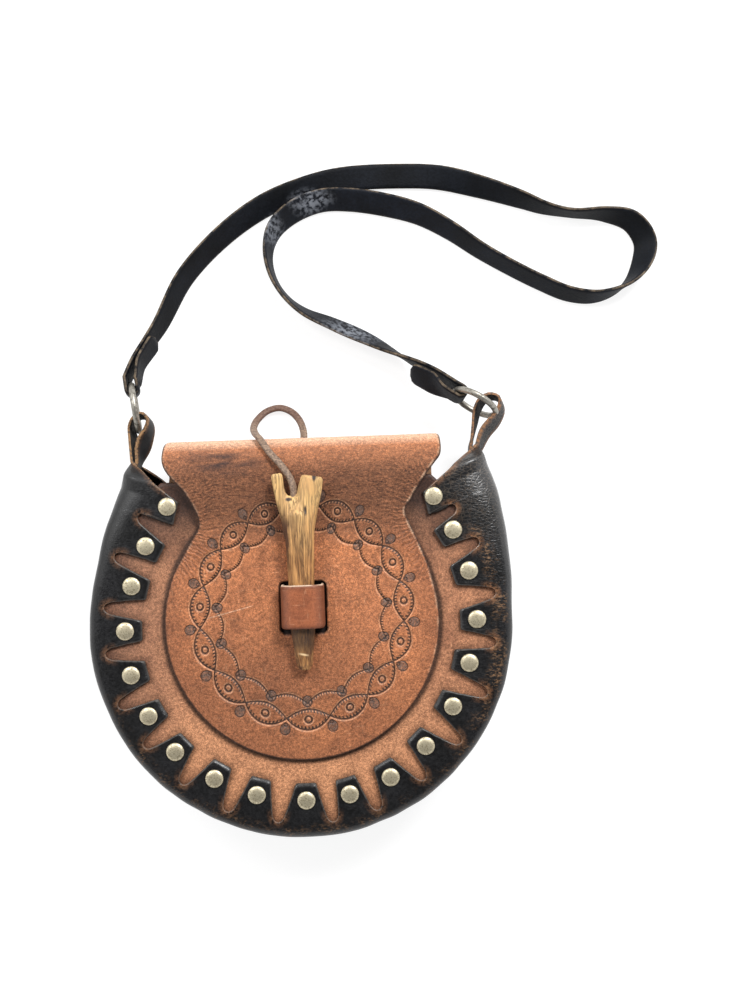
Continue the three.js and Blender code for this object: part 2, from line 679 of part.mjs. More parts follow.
// Sections of the strap's main run between the two folds
function strapRun(start, finish) {
  const stations = STRAP_WAY.map(({ x, y, lean, lift }) => ({
    point: new THREE.Vector3(x, y, strapRest(lean) + lift),
    lean,
  }));
  stations.unshift({ point: start.point, lean: RINGS.left.tilt });
  stations.push({ point: finish.point, lean: RINGS.right.tilt });
  const way = new THREE.CatmullRomCurve3(stations.map(({ point }) => point), false, 'centripetal');
  const leans = new THREE.SplineCurve(stations.map(({ lean }, index) => new THREE.Vector2(index, lean)));
  const count = (stations.length - 1) * STRAP_STEPS_PER_ROW;
  const run = [];
  for (let step = 0; step <= count; step += 1) {
    const travel = way.getTangent(step / count);
    const lean = radians(leans.getPoint(step / count).y);
    const level = new THREE.Vector3(-travel.y, travel.x, 0).normalize();
    const upright = travel.clone().cross(level);
    const across = level.clone().multiplyScalar(Math.cos(lean)).addScaledVector(upright, Math.sin(lean));
    run.push({ point: way.getPoint(step / count), across, face: across.clone().cross(travel) });
  }
  return run;
}

// The folded-back end follows the run at the thickness of the strap
function foldedEnd(run) {
  const end = [];
  let length = 0;
  for (let index = 1; index < run.length; index += 1) {
    length += run[index].point.distanceTo(run[index - 1].point);
    if (length > STRAP_FOLD_BACK) {
      break;
    }
    if (length > STRAP_FOLD_BACK / 4) {
      const point = run[index].point.clone().addScaledVector(run[index].face, -STRAP_LEATHER - GAP);
      end.push({ point, across: run[index].across });
    }
  }
  return end;
}

function strap() {
  const leftFold = strapFold(RINGS.left, 1).reverse();
  const rightFold = strapFold(RINGS.right, -1);
  const run = strapRun(leftFold[leftFold.length - 1], rightFold[0]);
  const sections = [
    ...foldedEnd(run).reverse(),
    ...leftFold,
    ...run.slice(1, -1),
    ...rightFold,
    ...foldedEnd([...run].reverse()),
  ];
  const grid = sections.map(({ point, across }) => [
    point.clone().addScaledVector(across, STRAP_WIDTH / 2),
    point.clone().addScaledVector(across, -STRAP_WIDTH / 2),
  ]);
  return leatherWall(grid, STRAP_LEATHER);
}

// Toggle: shaft and two prongs grown together, with a socket for the thong in the fork
function limb(profile) {
  const points = profile.map(({ y, radius }) => new THREE.Vector2(radius, y));
  points.unshift(new THREE.Vector2(0, profile[0].y));
  points.push(new THREE.Vector2(0, profile[profile.length - 1].y));
  return new THREE.LatheGeometry(points, TOGGLE_SIDES);
}

function prong({ fromX, fromY, fromRadius, toX, toY, toRadius }) {
  const length = Math.hypot(toX - fromX, toY - fromY);
  const piece = limb([
    { y: 0, radius: fromRadius },
    { y: length - PRONG_TIP_LENGTH * toRadius, radius: toRadius },
    { y: length, radius: PRONG_TIP_RADIUS * toRadius },
  ]);
  return piece.rotateZ(-Math.atan2(toX - fromX, toY - fromY)).translate(fromX, fromY, 0);
}

function toggle() {
  const shaft = limb(TOGGLE_SHAFT).translate(TOGGLE_X, 0, 0);
  const fork = join([shaft, ...TOGGLE_PRONGS.map(prong)]);
  fork.scale(1, 1, TOGGLE_FLATNESS);
  const radius = THONG_DIAMETER / 2 + 2 * GAP;
  const reach = TOGGLE_PRONGS[0].toY - SOCKET_Y;
  const socket = new THREE.CylinderGeometry(radius, radius, reach, THONG_SIDES);
  socket.translate(SOCKET_X, SOCKET_Y + reach / 2, 0);
  return cut(fork, [socket]).rotateX(radians(TOGGLE_TILT)).translate(0, 0, TOGGLE_Z);
}

// Keeper: half of its way, from the loop's middle down one leg to the foot, then mirrored
function keeper() {
  const legX = (KEEPER_SPAN - KEEPER_LEATHER) / 2;
  const gripZ = TOGGLE_Z + (KEEPER_Y + KEEPER_LENGTH / 2) * Math.tan(radians(TOGGLE_TILT));
  const topZ = gripZ + TOGGLE_GRIP_RADIUS * TOGGLE_FLATNESS + GAP + KEEPER_LEATHER / 2;
  const footX = KEEPER_X + legX + KEEPER_BEND + KEEPER_FOOT;
  const footLevel = frontLevel(footX, KEEPER_Y + KEEPER_LENGTH / 2);
  const footZ = footLevel - PANEL_LEATHER / 2 - GAP - KEEPER_LEATHER / 2;
  const half = [];
  for (let step = 0; step <= 3; step += 1) {
    const turn = Math.PI / 2 * step / 3;
    half.push([legX - KEEPER_CORNER * (1 - Math.sin(turn)), topZ - KEEPER_CORNER * (1 - Math.cos(turn))]);
  }
  half.push([legX, footZ + KEEPER_BEND]);
  half.push([legX + KEEPER_BEND / 3, footZ + KEEPER_BEND / 3]);
  half.push([legX + KEEPER_BEND, footZ]);
  half.push([legX + KEEPER_BEND + KEEPER_FOOT, footZ]);
  const way = [...half.map(([x, z]) => [-x, z]).reverse(), ...half];
  const grid = way.map(([x, z]) => [
    new THREE.Vector3(KEEPER_X + x, KEEPER_Y - KEEPER_LENGTH / 2, z),
    new THREE.Vector3(KEEPER_X + x, KEEPER_Y + KEEPER_LENGTH / 2, z),
  ]);
  return leatherWall(grid, KEEPER_LEATHER);
}

// Thong: a tube along its way, with a knot that stops it inside the fold
function thong() {
  const innerFace = FOLD_RADIUS - PANEL_LEATHER / 2;
  const knotPlace = foldPoint(THONG_X, THONG_FOLD_ANGLE, innerFace - GAP - THONG_KNOT_RADIUS);
  const way = new THREE.CatmullRomCurve3([
    knotPlace,
    foldPoint(THONG_X, THONG_FOLD_ANGLE, FOLD_RADIUS + PANEL_LEATHER / 2),
    ...THONG_WAY.map(([x, y, z]) => new THREE.Vector3(x, y, z)),
  ]);
  const section = new THREE.Shape();
  for (let side = 0; side < THONG_SIDES; side += 1) {
    const angle = 2 * Math.PI * side / THONG_SIDES;
    const x = THONG_DIAMETER / 2 * Math.cos(angle);
    const y = THONG_DIAMETER / 2 * Math.sin(angle);
    if (side === 0) {
      section.moveTo(x, y);
    } else {
      section.lineTo(x, y);
    }
  }
  const tube = new THREE.ExtrudeGeometry(section, { steps: THONG_STEPS, extrudePath: way });
  const knot = new THREE.SphereGeometry(THONG_KNOT_RADIUS, THONG_SIDES, THONG_KNOT_RINGS);
  knot.translate(knotPlace.x, knotPlace.y, knotPlace.z);
  return join([tube, knot]);
}

addPiece('front_panel', frontPanel(), tanLeather());
addPiece('back_flap', backAndFlap(), tanLeather());
addPiece('gusset_left', leftGusset(), blackLeather());
addPiece('gusset_right', rightGusset(), blackLeather());
addRivets();
addRings();
addPiece('strap', strap(), blackLeather());
addPiece('keeper', keeper(), redBrownLeather());
addPiece('toggle', toggle(), twigWood());
addPiece('toggle_thong', thong(), laceLeather());

export default satchel;
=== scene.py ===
"""Looks of a round leather satchel lying on its back, with its strap laid out on the same surface.

Sizes are in millimetres and angles in degrees, and a finished mesh is scaled to metres. +Z is up, out of
the front of the bag, and +Y points at the fold on top of the bag.
"""
import math
from functools import partialmethod

import bmesh
import bpy
import numpy as np
from mathutils import Euler, Matrix, Vector, kdtree, noise


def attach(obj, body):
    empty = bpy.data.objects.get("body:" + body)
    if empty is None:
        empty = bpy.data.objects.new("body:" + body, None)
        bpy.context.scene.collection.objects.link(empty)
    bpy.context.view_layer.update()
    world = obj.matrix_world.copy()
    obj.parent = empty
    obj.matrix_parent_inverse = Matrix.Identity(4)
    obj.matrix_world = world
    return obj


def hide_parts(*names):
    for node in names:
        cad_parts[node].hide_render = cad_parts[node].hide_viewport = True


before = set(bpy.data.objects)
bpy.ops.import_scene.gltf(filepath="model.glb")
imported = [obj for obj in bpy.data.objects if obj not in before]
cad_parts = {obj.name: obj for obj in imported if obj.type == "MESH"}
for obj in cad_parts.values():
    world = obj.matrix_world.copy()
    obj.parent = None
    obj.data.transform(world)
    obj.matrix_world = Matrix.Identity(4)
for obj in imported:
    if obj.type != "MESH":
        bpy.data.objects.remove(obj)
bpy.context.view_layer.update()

MM = 0.001

# Thickness of each leather, and the clearance between neighbours
GAP = 0.3
PANEL_LEATHER = 2.4
GUSSET_LEATHER = 2.2
STRAP_LEATHER = 2.5
KEEPER_LEATHER = 2.2

# Rounded cut edges: how far in from its edge each leather thins, the share of its thickness left there,
# and the points along an edge for each point of the sheet, when the way to the edge is measured
PANEL_ROUNDING = 1.2
GUSSET_ROUNDING = 1.1
STRAP_ROUNDING = 1.3
KEEPER_ROUNDING = 1.1
EDGE_SHARE = 0.45
RIM_FINENESS = 4

# Front and back panels: heights are those of the middle of the leather
PANEL_RADIUS = 124.4
PANEL_COLUMNS = 111
PANEL_ROWS = 112
MOUTH_Y = 92
FRONT_RIM_Z = 52.9
FRONT_CROWN = 2.4
FRONT_CROWN_RADIUS = 97
BACK_Z = PANEL_LEATHER / 2
BACK_DISH = 4.6
BACK_RIM_Z = BACK_Z + BACK_DISH
BACK_FLAT_RADIUS = 70
BACK_RIM_RADIUS = 87
BACK_TOP_Y = 88.5
# Rows of points across a disc start to bend round at one angle and reach its bottom corners at the other
BEND_ANGLE = 10
CORNER_ANGLE = -60

# Fold over the top of the bag, and the flap that hangs from it
FOLD_Y = 90.1
FOLD_RADIUS = 26.7
FOLD_TOP_Z = BACK_RIM_Z + 2 * FOLD_RADIUS
FOLD_CORNER = 1.0
FOLD_CORNER_SPREAD = 16
BACK_NECK_HALF = 87
FLAP_RISE_Y = 32.3
FLAP_RADIUS = 85
FLAP_CENTRE = (1.2, 2.6)
FLAP_COLUMNS = 193
BACK_ROWS = 22
FOLD_ROWS = 35
NECK_ROWS = 75
FLAP_ROWS = 115

# The flap's two sides, from its straight neck, round the bites, to the side of its disc: y, left, right
FLAP_SIDES = [
    (120, -82.5, 90.5), (105, -82.5, 90.5), (98, -79.4, 85.6), (86, -69, 76.6), (77.5, -64, 71.4),
    (70, -60.8, 67.2), (64, -60.6, 68.9), (53, -67, 73.8), (34, -77.8, 81), (20, -82, 84.4),
]
FLAP_SIDE_STEPS = 8

# Steps along x, y and z from one seed's random hills to the next one's
SEED_STEPS = (17.3, 5.9, 11.1)

# The flap's soft surface sets in above a height. It swells in wide hills and wrinkles at its neck
FLAP_FRONT_Z = (50, 54)
FLAP_LIFT = 0.5
FLAP_SWELL = 0.25
FLAP_SWELL_SIZE = 46
FLAP_SWELL_SEED = 1
NECK_WRINKLE = 0.3
NECK_WRINKLE_SIZE = (14, 2.2, 14)
NECK_WRINKLE_SEED = 2
NECK_LOW_Y = (52, 74)
NECK_HIGH_Y = (92, 108)

# The middles of the flap's two bites, and the creases that fan out from them
LEFT_BITE = (-88, 66)
RIGHT_BITE = (95, 68)
PLEATS = 80
PLEAT_REACH = 54
PLEAT_WANDER = 2.4

# Tones on the flap: x, y, half width, half height, share and colour
FLAP_TONES = [
    (46, 0, 52, 60, 0.45, (184, 117, 78)),
    (-20, -40, 96, 56, 0.7, (110, 69, 48)),
]
FLAP_SCRATCH = {"start": (-58, 7), "end": (-27.8, 14.4), "width": 0.5}
SCRATCH_FADE = 3
# A dark smear at the neck: x, y, half width and half height
NECK_SMEAR = (-44, 104, 40, 12)
# Where the flap's finish changes, from and to: along x, y or z, in from its edge, or across a groove
FLAP_FACE_Z = (46, 54)
FLAP_RIM_SHADE = (2, 16)
FLAP_RIM_SHADE_Y = (46, 66)
NECK_PATINA_AND_SHADE_LOW_Y = (48, 74)
NECK_PATINA_AND_SHADE_HIGH_Y = (94, 114)
NECK_PATINA_AND_SHADE_X = (-60, 30)
NECK_CREASE_Y = (48, 64)
FOLD_HIGHLIGHT_Y = (111, 116)
FOLD_HIGHLIGHT_Z = (26, 36)
LIP_HIGHLIGHT_START = (0.05, 0.25)
LIP_HIGHLIGHT_END = (0.45, 0.75)
WORN_AND_LIT_SIDE_X = (0, 40)
WORN_AND_LIT_SIDE_Y = (-40, -10)
WORN_AND_LIT_TOP_Y = (36, 52)
FLAP_WORN_AND_LIT_EDGE = (1, 2)
FLAP_DARK_EDGE = (0.4, 1.3)

# Where the front panel's finish changes, from and to: along x or y, out from the flap's edge, from the
# bag's middle or the keeper's, or away from a tooth
FRONT_PALE_Y = (-100, -30)
FRONT_COVERED_SHADE_Y = (32, 76)
FLAP_SHADE = (0, 7)
FLAP_DEEP_SHADE = (1.4, 3.4)
FRONT_DULL_X = (-110, -70)
FRONT_GRIME_AND_SHADE_RADIUS = (108, 122)
HOLE_SHADE = (22, 26)
TOOTH_SHADE = (0, 6)

# Border stamped round the flap: a ring of almonds drawn in at the top left, and shifted along the ring
BORDER_X = 1.0
BORDER_Y = 9.2
BORDER_WIDENING = 0.982
BORDER_HEIGHTENING = 1.027
BORDER_RADIUS = 64.8
BORDER_TURN = 2
BORDER_DRAW_IN = 0.06
ALMONDS = 16
ALMOND_LENGTH = 25.4
ALMOND_HALF_WIDTH = 6.2
ALMOND_SHIFT_SIDE = 0.2
ALMOND_SHIFT_LOW = 0.085
SEEDER_RADIUS = 2.0
SCALLOP_REACH = 55
SCALLOP_DIP = 5
OUTER_PEAR = {"reach": 71.3, "half_width": 3.1, "half_length": 3.7, "bead": -2.9}
INNER_PEAR = {"reach": 53.8, "half_width": 3.1, "half_length": 3.6, "bead": 2.4}
BEAD_RADIUS = 1.1
PEAR_FLANK = (-0.05, 0.1)
PEAR_RIM = (0.1, 0.24)
PEAR_RIM_SHARE = 0.85
# Stamped lines reach from one offset to the other across their course, and some have teeth on one side.
# The flank of a tooth and that of a line rise from 0 to 1 between two values, as a pear's do
ALMOND_LINE = (-0.5, 0.4)
SCALLOP_LINE = (-0.3, 0.3)
SEEDER_LINE = (-0.6, 0.5)
BEAD_LINE = (-0.3, 0.3)
ALMOND_TOOTH = 1.5
SCALLOP_TOOTH = 1.2
STAMP_TEETH = 6.6
TOOTH_FLANK = (0.4, 0.65)
LINE_FLANK = (-0.2, 0.25)
GROOVE_HALF_WIDTH = 1.5
STAMP_DEPTH = 0.45

# Gusset teeth from the left end, round the bottom, to the right end: the swing of the tooth's rivet
# from the bottom of the bag, and the rivet's reach from the bag's middle
TEETH = [
    (-134, 111), (-119.5, 108), (-105.5, 107.5), (-90.5, 108.5), (-76, 109), (-61.5, 109), (-47, 109.5),
    (-31.5, 108), (-16.5, 107.5), (0, 107.5), (14.5, 108), (29, 108.5), (44.5, 107), (60.5, 106.5),
    (76, 107), (90.5, 109.5), (106.5, 110), (120.5, 112), (132.5, 115.5),
]
TIP_AHEAD = 10.4
END_TIP_AHEAD = 3
TIP_WIDTH = 12.4
ROOT_RADIUS = 122.5
ROOT_WIDTH = 7.4
# A notch between two teeth, from side to side: share of its half width, and how far short of its root
NOTCH = [(-1, 3.6), (-0.6, 0.8), (0, -0.3), (0.6, 0.8), (1, 3.6)]
# Uneven hand cutting: how much each notch strays, and how fast that changes from tooth to tooth
NOTCH_STRAY = (0.5, 2.7)
DEPTH_STRAY = (0.8, 4.1)
CUT_SOFTNESS = 9

# Gusset section: a flange on the panel, a roll over its shoulder and a wall down to the other panel
SHOULDER_RADIUS = 124.8
WALL_RADIUS = 131
GUSSET_TOP_Z = FRONT_RIM_Z + PANEL_LEATHER / 2 + GAP + GUSSET_LEATHER / 2
GUSSET_LOW_Z = BACK_RIM_Z - PANEL_LEATHER / 2 - GAP - GUSSET_LEATHER / 2
GUSSET_MID_Z = (GUSSET_TOP_Z + GUSSET_LOW_Z) / 2
WALL_TOP_Z = GUSSET_TOP_Z - (WALL_RADIUS - SHOULDER_RADIUS)
SLANT_START = 105
SLANT_END = 141
SLANT = 10
END_WALL_HALF = 12
ROLL_SHARE = 0.9
FLANGE_ROWS = 9
ROLL_ROWS = 5
WALL_ROWS = 8
EDGE_COLUMNS = 900
EDGE_FINENESS = 5
# Loose bulges of the wall: height, size and seed of the hills, and how far the wall is drawn in
BULGES = [(0.5, 15, 4), (0.9, 44, 5)]
BULGE_DRAW_IN = 0.3
BULGE_START_RADIUS = ROOT_RADIUS - 2

# Gusset ends: each flares out, tapers to a tab and loops through a ring
FLARE_END = 133
FLARE_POWER = 1.6
TAPER_COLUMNS = 15
TAPER_CLEAR = 0.46
TAB_COLUMNS = 46
TAB_STEPS = 10
TAB_HALF = 6.5
# The two edges of each tab's loop, from its free end inside the bag to the pinch: x and y
LEFT_END = {
    "flare": 14,
    "flare_start": 104,
    "tab_top": [
        (-106.9, 89.1), (-104.2, 97.4), (-101.8, 106), (-102, 113.8), (-100.4, 121), (-95.8, 127.6),
        (-94, 133), (-97, 137.2), (-101.6, 136), (-105.4, 130), (-105.6, 121), (-105.2, 113.5),
        (-104.7, 106.5),
    ],
    "tab_low": [
        (-106.9, 89.1), (-104.2, 97.4), (-100.6, 105.4), (-95.8, 112.5), (-92.8, 121), (-92.2, 128.4),
        (-94.4, 133), (-98.4, 134.6), (-102, 133.6), (-104.9, 129.6), (-103, 121.6), (-102.4, 114),
        (-104.4, 106.5),
    ],
}
RIGHT_END = {
    "flare": 26.5,
    "flare_start": 90,
    "tab_top": [
        (118.4, 88.5), (114.4, 97.3), (111, 106.2), (111.8, 113.5), (112.8, 123), (113.8, 132),
        (117.4, 139), (124, 142), (129.8, 139.6), (129.2, 133.4), (124.4, 127.4), (117.8, 119.8),
        (114.4, 110),
    ],
    "tab_low": [
        (118.4, 88.5), (114.4, 97.3), (110.8, 106.2), (113, 114.5), (116, 123.6), (118.4, 131.2),
        (121.8, 136.6), (127, 139), (132, 137), (133.8, 131), (130.6, 123), (123.6, 114.8),
        (118.4, 106.2),
    ],
}

# Where the gusset's finish changes, from and to: along x, y or z, out from the bag's middle, in from its
# edge, or away from a wrinkle
RUBBED_SIDE_X = (66, 118)
RUBBED_SIDE_Y = (-90, -30)
RUBBED_LOW_Y = (-80, -20)
RUBBED_LOW_Z = (30, 48)
RUBBED_LOW_RADIUS = (121, 127)
RUST_START_RADIUS = (117, 124)
RUST_END_RADIUS = (127, 131)
RUST_TOP_Y = (54, 84)
HAIRLINE = (0, 0.07)
HAIRLINE_X = (70, 100)
HAIRLINE_Y = (40, 90)
GUSSET_RUBBED_EDGE = (0.2, 0.9)
GUSSET_FUZZ_EDGE = (0, 4)
GUSSET_FUZZ_RADIUS = (114, 120)
TAB_NAP_EDGE = (0.6, 1.5)
TAB_NAP_X = (0, 50)
POLISH_X = (60, 105)
POLISH_Y = (-10, 40)
POLISH_Z = (36, 52)

# A point on the axis of a turned shape keeps a small radius, and is merged with its copies afterwards
ON_AXIS = 0.001
MERGE_DISTANCE = 0.01

# Rivets through the teeth: radius and height of the cap's profile, and the dimple that it presses
RIVET_CAP_RADIUS = 5.65
RIVET_PROFILE = [
    (ON_AXIS, 1.5), (1.6, 1.47), (3.0, 1.36), (4.1, 1.16), (5.0, 0.8), (5.5, 0.45),
    (RIVET_CAP_RADIUS, 0.15), (5.5, 0), (ON_AXIS, 0),
]
RIVET_SIDES = 28
DIMPLE_DEPTH = 0.35
DIMPLE_REACH = 3.5

# Rings: the heading runs in the ring's plane from the tab to the strap, and tilt leans the plane over
RING_WIRE = 4
RING_RADIUS = 14.7
RING_WIRE_SIDES = 16
RING_SIDES = 72
LEFT_RING = {"x": -102.3, "y": 140.8, "heading": 97.2, "tilt": 82}
RIGHT_RING = {"x": 115.1, "y": 136.9, "heading": 148.4, "tilt": 76}

# Shoulder strap from the left ring to the right
STRAP_WIDTH = 16
STRAP_COLUMNS = 13
STRAP_STEPS = 12
LEAN_SOFTNESS = 13
# Points along the strap: x, y, lean of its width from flat, and lift off the surface
STRAP_WAY = [
    (-102.4, 171.0, 82, 16), (-87.5, 196.0, 62, 4), (-70.7, 227.5, 53, 0), (-45.5, 253.5, 46, 0),
    (-18.5, 272.3, 34, 0), (6.8, 282.6, 24, 0), (33.3, 288.9, 14, 0), (72.8, 290.1, 8, 0),
    (99.0, 287.9, 16, 0), (125.0, 280.4, 40, 0), (151.0, 271.0, 60, 0), (167.2, 264.5, 74, 0),
    (184.8, 260.6, 88, 0), (206.4, 259.2, 68, 0), (224.0, 254.0, 42, 0), (232.7, 240.5, 28, 0),
    (228.8, 224.9, 48, 0), (217.9, 212.1, 86, 0), (199.9, 205.5, 112, 0), (181.6, 207.5, 117, 0),
    (162.2, 216.1, 117, 0), (142.8, 226.6, 117, 0), (123.5, 238.4, 119, 0), (104.3, 252.2, 126, 0),
    (85.0, 263.4, 136, 0), (65.5, 270.0, 146, 0), (39.4, 274.9, 148, 0), (19.7, 274.9, 146, 0),
    (1.0, 267.7, 140, 0), (-11.2, 256.3, 124, 0), (-15.6, 242.0, 104, 0), (-13.5, 226.8, 98, 0),
    (-6.1, 213.4, 98, 0), (6.0, 202.5, 108, 0), (25.6, 193.2, 127, 0), (48.4, 182.3, 127, 0),
    (68.8, 170.5, 96, 2), (88.2, 158.5, 68, 12),
]

# The strap's ends turn round the rings, run back along the strap and end in rounded corners
STRAP_TURN = RING_WIRE / 2 + GAP + STRAP_LEATHER / 2
STRAP_TURN_POINTS = 15
STRAP_PASS = (0.33, 0.66, 1)
STRAP_ENDS = {"left": {"length": 38, "splay": 6}, "right": {"length": 32, "splay": 28}}
STRAP_END_START = 1.5
STRAP_END_CORNER = 5

# Pale scuffs on the strap, which also stand for painted sheen: x, y, half width, half height and strength
STRAP_SCUFFS_AND_SHEEN = [
    (11.2, 274.1, 15, 11, 1.0), (-12, 256.5, 9, 13, 0.9), (20, 276, 12, 6, 0.6), (36.5, 188, 34, 12, 0.8),
]
STRAP_WORN_EDGE = (0.15, 0.55)

# Toggle: a forked twig, flatter than wide, that tilts up towards the fold. Shaft rows are y and radius
TOGGLE_X = 2.2
TOGGLE_Z = 65.46
TOGGLE_TILT = 1.77
TOGGLE_FLATNESS = 0.78
TOGGLE_GRIP_RADIUS = 8.2
TOGGLE_SHAFT = [
    (-26, 3.6), (-23, 5.0), (-2, 7.8), (28, TOGGLE_GRIP_RADIUS), (46, 8.8), (60, 9.4), (70, 9), (77, 5),
]
# Rows of the two prongs and of the web between them are x, y and radius
TOGGLE_PRONGS = [
    [
        (0.5, 50, 6.6), (-1.8, 61, 6.6), (-3.4, 67, 5.6), (-5.5, 73, 5), (-7.6, 79, 4.2), (-9.3, 85, 3.7),
        (-10.6, 93.8, 3.8), (-10.8, 95, 3.1),
    ],
    [
        (4.2, 50, 7), (4.8, 61, 7), (6.4, 70, 7.2), (7.9, 78, 7.4), (9.4, 85, 7.5), (11, 91.8, 7),
        (11.2, 93, 6.2),
    ],
    [(1.5, 60, 8), (-0.4, 72, 6.4), (-1.5, 78, 4.6), (-1.7, 80.5, 3.4), (-1.7, 81.5, 2.2)],
]
SHAFT_SIDES = 28
PRONG_SIDES = 24
PRONG_POINTS = 24
TWIG_VOXEL = 0.8
TWIG_SMOOTHING = 6
# Ridges and lumps of the twig: height, size along x, y and z, and a shift that sets them apart
TWIG_RELIEF = [(0.22, 2.2, 30, 2.2, 0), (0.35, 9, 14, 9, 3.3)]
TWIG_SHRINK = 0.25

# Dark nicks on the twig: x, y, half width and half height
TOGGLE_NICKS = [(-3.7, 79, 2.4, 1.5), (12.4, 92, 1.6, 3.2), (-1.6, 83, 3.6, 2.2), (6.5, 72, 0.9, 4)]
TOGGLE_SCRATCH = {"start": (-1.4, -15), "end": (5.8, -16.6), "width": 0.9}
# The twig's left side below the fork, painted in shade, as x, y, half width and half height, and where its
# tone changes along y
TWIG_SHADED_SIDE = (-8, 56, 12, 24)
TWIG_PALE_Y = (40, 80)
TWIG_DARK_LOW_Y = (-20, -10)
TWIG_DARK_HIGH_Y = (-2, 6)

# Keeper: a loop of leather through the flap's hole, its feet turned out inside the front panel
KEEPER_X = 2.5
KEEPER_Y = 13.5
KEEPER_SPAN = 26.5
KEEPER_LENGTH = 26.5
KEEPER_FOOT = 9
KEEPER_BEND = 1.6
KEEPER_CORNER = 7
KEEPER_CORNER_POINTS = 9
KEEPER_COLUMNS = 84
KEEPER_ROWS = 25
KEEPER_HOLE = {"x": KEEPER_X, "y": 12.2, "width": 28.8, "length": 32, "corner": 3}
HOLE_POINTS = 73
# Where the keeper's finish changes, from and to: out or up from its middle, or in from its edge
KEEPER_SIDE_SHADE = (7, 13)
KEEPER_DARK_EDGE = (0.8, 3.4)
KEEPER_CHAFED_EDGE = (0.3, 0.9)
KEEPER_CHAFED_RISE = (0, 6)

# Lace from inside the fold to the toggle's fork, and the knot that stops it
LACE_WIDTH = 4.6
LACE_THICKNESS = 3.0
LACE_SQUARENESS = 0.6
LACE_SIDES = 12
LACE_STEPS = 12
LACE_POINTS = 110
LACE_X = 4.2
LACE_FOLD_ANGLE = 65
LACE_RED_Y = (124, 134)
LACE_WAY = [
    (4, 122.8, 15.8), (1, 131, 9), (-4.5, 137, 4.5), (-12, 139.8, 2.6), (-20, 138, 3), (-26, 132.5, 8),
    (-28, 126.5, 19), (-26, 121.8, 32), (-22, 117.6, 46.4), (-15, 108, 57.6), (-8, 100.2, 63),
    (-2.6, 92, 67.1), (-0.6, 85.5, 68.1), (-0.5, 76, 67.8),
]
KNOT_SIZE = 0.72
KNOT_DEPTH = 1.4
KNOT_CORD_RADIUS = 1.3
KNOT_DROP = 3.4
KNOT_SIDES = 8
KNOT_POINTS = 60

# Camera straight above the bag
CAMERA_PLACE = (48.9, 76.8, 850)
CAMERA_TURN = -2
CAMERA_LENS = 46.16
CAMERA_SENSOR = 36

# Pale floor that turns up into a wall, and the lights: name, place and size in metres, power in watts
FLOOR_RADIUS = 2300
FLOOR_BEND = 700
FLOOR_BEND_POINTS = 9
FLOOR_WALL = 2200
FLOOR_SIDES = 64
FLOOR_GREY = 0.25
FLOOR_GLOW = 0.84
WORLD_GLOW = 0.1
LIGHTS = [
    ("window", (0.66, 0.99, 1.15), 0.5, 26),
    ("fill", (-0.95, 0.6, 1.2), 1.0, 5),
    ("side_window", (-0.62, 0.72, 1.0), 0.3, 5.5),
]


# Camera

lens = bpy.data.cameras.new("camera")
lens.lens = CAMERA_LENS
lens.sensor_width = CAMERA_SENSOR
camera = bpy.data.objects.new("camera", lens)
camera.location = Vector(CAMERA_PLACE) * MM
camera.rotation_euler = Euler((0, 0, math.radians(CAMERA_TURN)))
bpy.context.collection.objects.link(camera)
bpy.context.scene.camera = camera


# Sums shared by the shapes

def share_between(value, low, high):
    """0 up to low, 1 from high on, and evenly between them."""
    return np.clip((value - low) / (high - low), 0, 1)


def ramp(value, low, high):
    """Goes smoothly from 0 at low to 1 at high."""
    share = share_between(value, low, high)
    return share * share * (3 - 2 * share)


def lerp(start, end, share):
    return start + (end - start) * share


class Field(np.ndarray):
    """Numbers at the points of a piece, with the same methods as a Wire of a finish."""

    magnitude = partialmethod(np.abs)
    floor = partialmethod(np.floor)
    root = partialmethod(np.sqrt)
    least = partialmethod(np.minimum)
    most = partialmethod(np.maximum)
    turn = partialmethod(np.arctan2)
    rise = share_between


def polar(radius, swing, z):
    """A point of the bag by its radius and its swing, the angle from the bottom of the bag."""
    angle = math.radians(270 + swing)
    return np.array([radius * math.cos(angle), radius * math.sin(angle), z])


def smooth_way(points, steps):
    """Points along a smooth curve through the given ones, with so many steps from each to the next."""
    points = np.array(points, dtype=float)
    line = np.vstack([2 * points[0] - points[1], points, 2 * points[-1] - points[-2]])
    spans = np.linalg.norm(np.diff(line, axis=0), axis=1) ** 0.5
    share = (np.arange(steps) / steps)[:, None]
    way = []
    for first in range(len(points) - 1):
        before, start, end, after = line[first:first + 4]
        span_in, span, span_out = spans[first:first + 3]
        leave = (start - before) / span_in - (end - before) / (span_in + span) + (end - start) / span
        arrive = (end - start) / span - (after - start) / (span + span_out) + (after - end) / span_out
        leave = leave * span
        arrive = arrive * span
        square = 3 * (end - start) - 2 * leave - arrive
        cube = 2 * (start - end) + leave + arrive
        way.append(start + leave * share + square * share ** 2 + cube * share ** 3)
    way.append(points[-1:])
    return np.vstack(way)


def travelled(way):
    """How far along a way each of its points lies."""
    return np.concatenate([[0], np.cumsum(np.linalg.norm(np.diff(way, axis=0), axis=1))])


def evenly(way, count):
    """The same way with its points evenly spaced."""
    length = travelled(way)
    stops = np.linspace(0, length[-1], count + 1)
    return np.stack([np.interp(stops, length, way[:, axis]) for axis in range(way.shape[1])], axis=1)


def softened(values, count):
    """Each value's mean with its neighbours, so many in all."""
    padded = np.pad(values, count // 2, mode="edge")
    return np.convolve(padded, np.ones(count) / count, "valid")


def headings(way):
    """Unit vectors along a way."""
    ahead = np.gradient(way, axis=0)
    return ahead / np.linalg.norm(ahead, axis=1, keepdims=True)


def rumple(points, size, seed):
    """Smooth random heights, about -1 to 1, over hills of the given size."""
    shift = Vector([seed * step for step in SEED_STEPS])
    flat = points.reshape(-1, 3)
    heights = [noise.noise(Vector(point) / size + shift) for point in flat]
    return np.array(heights).reshape(points.shape[:-1])


# Making pieces

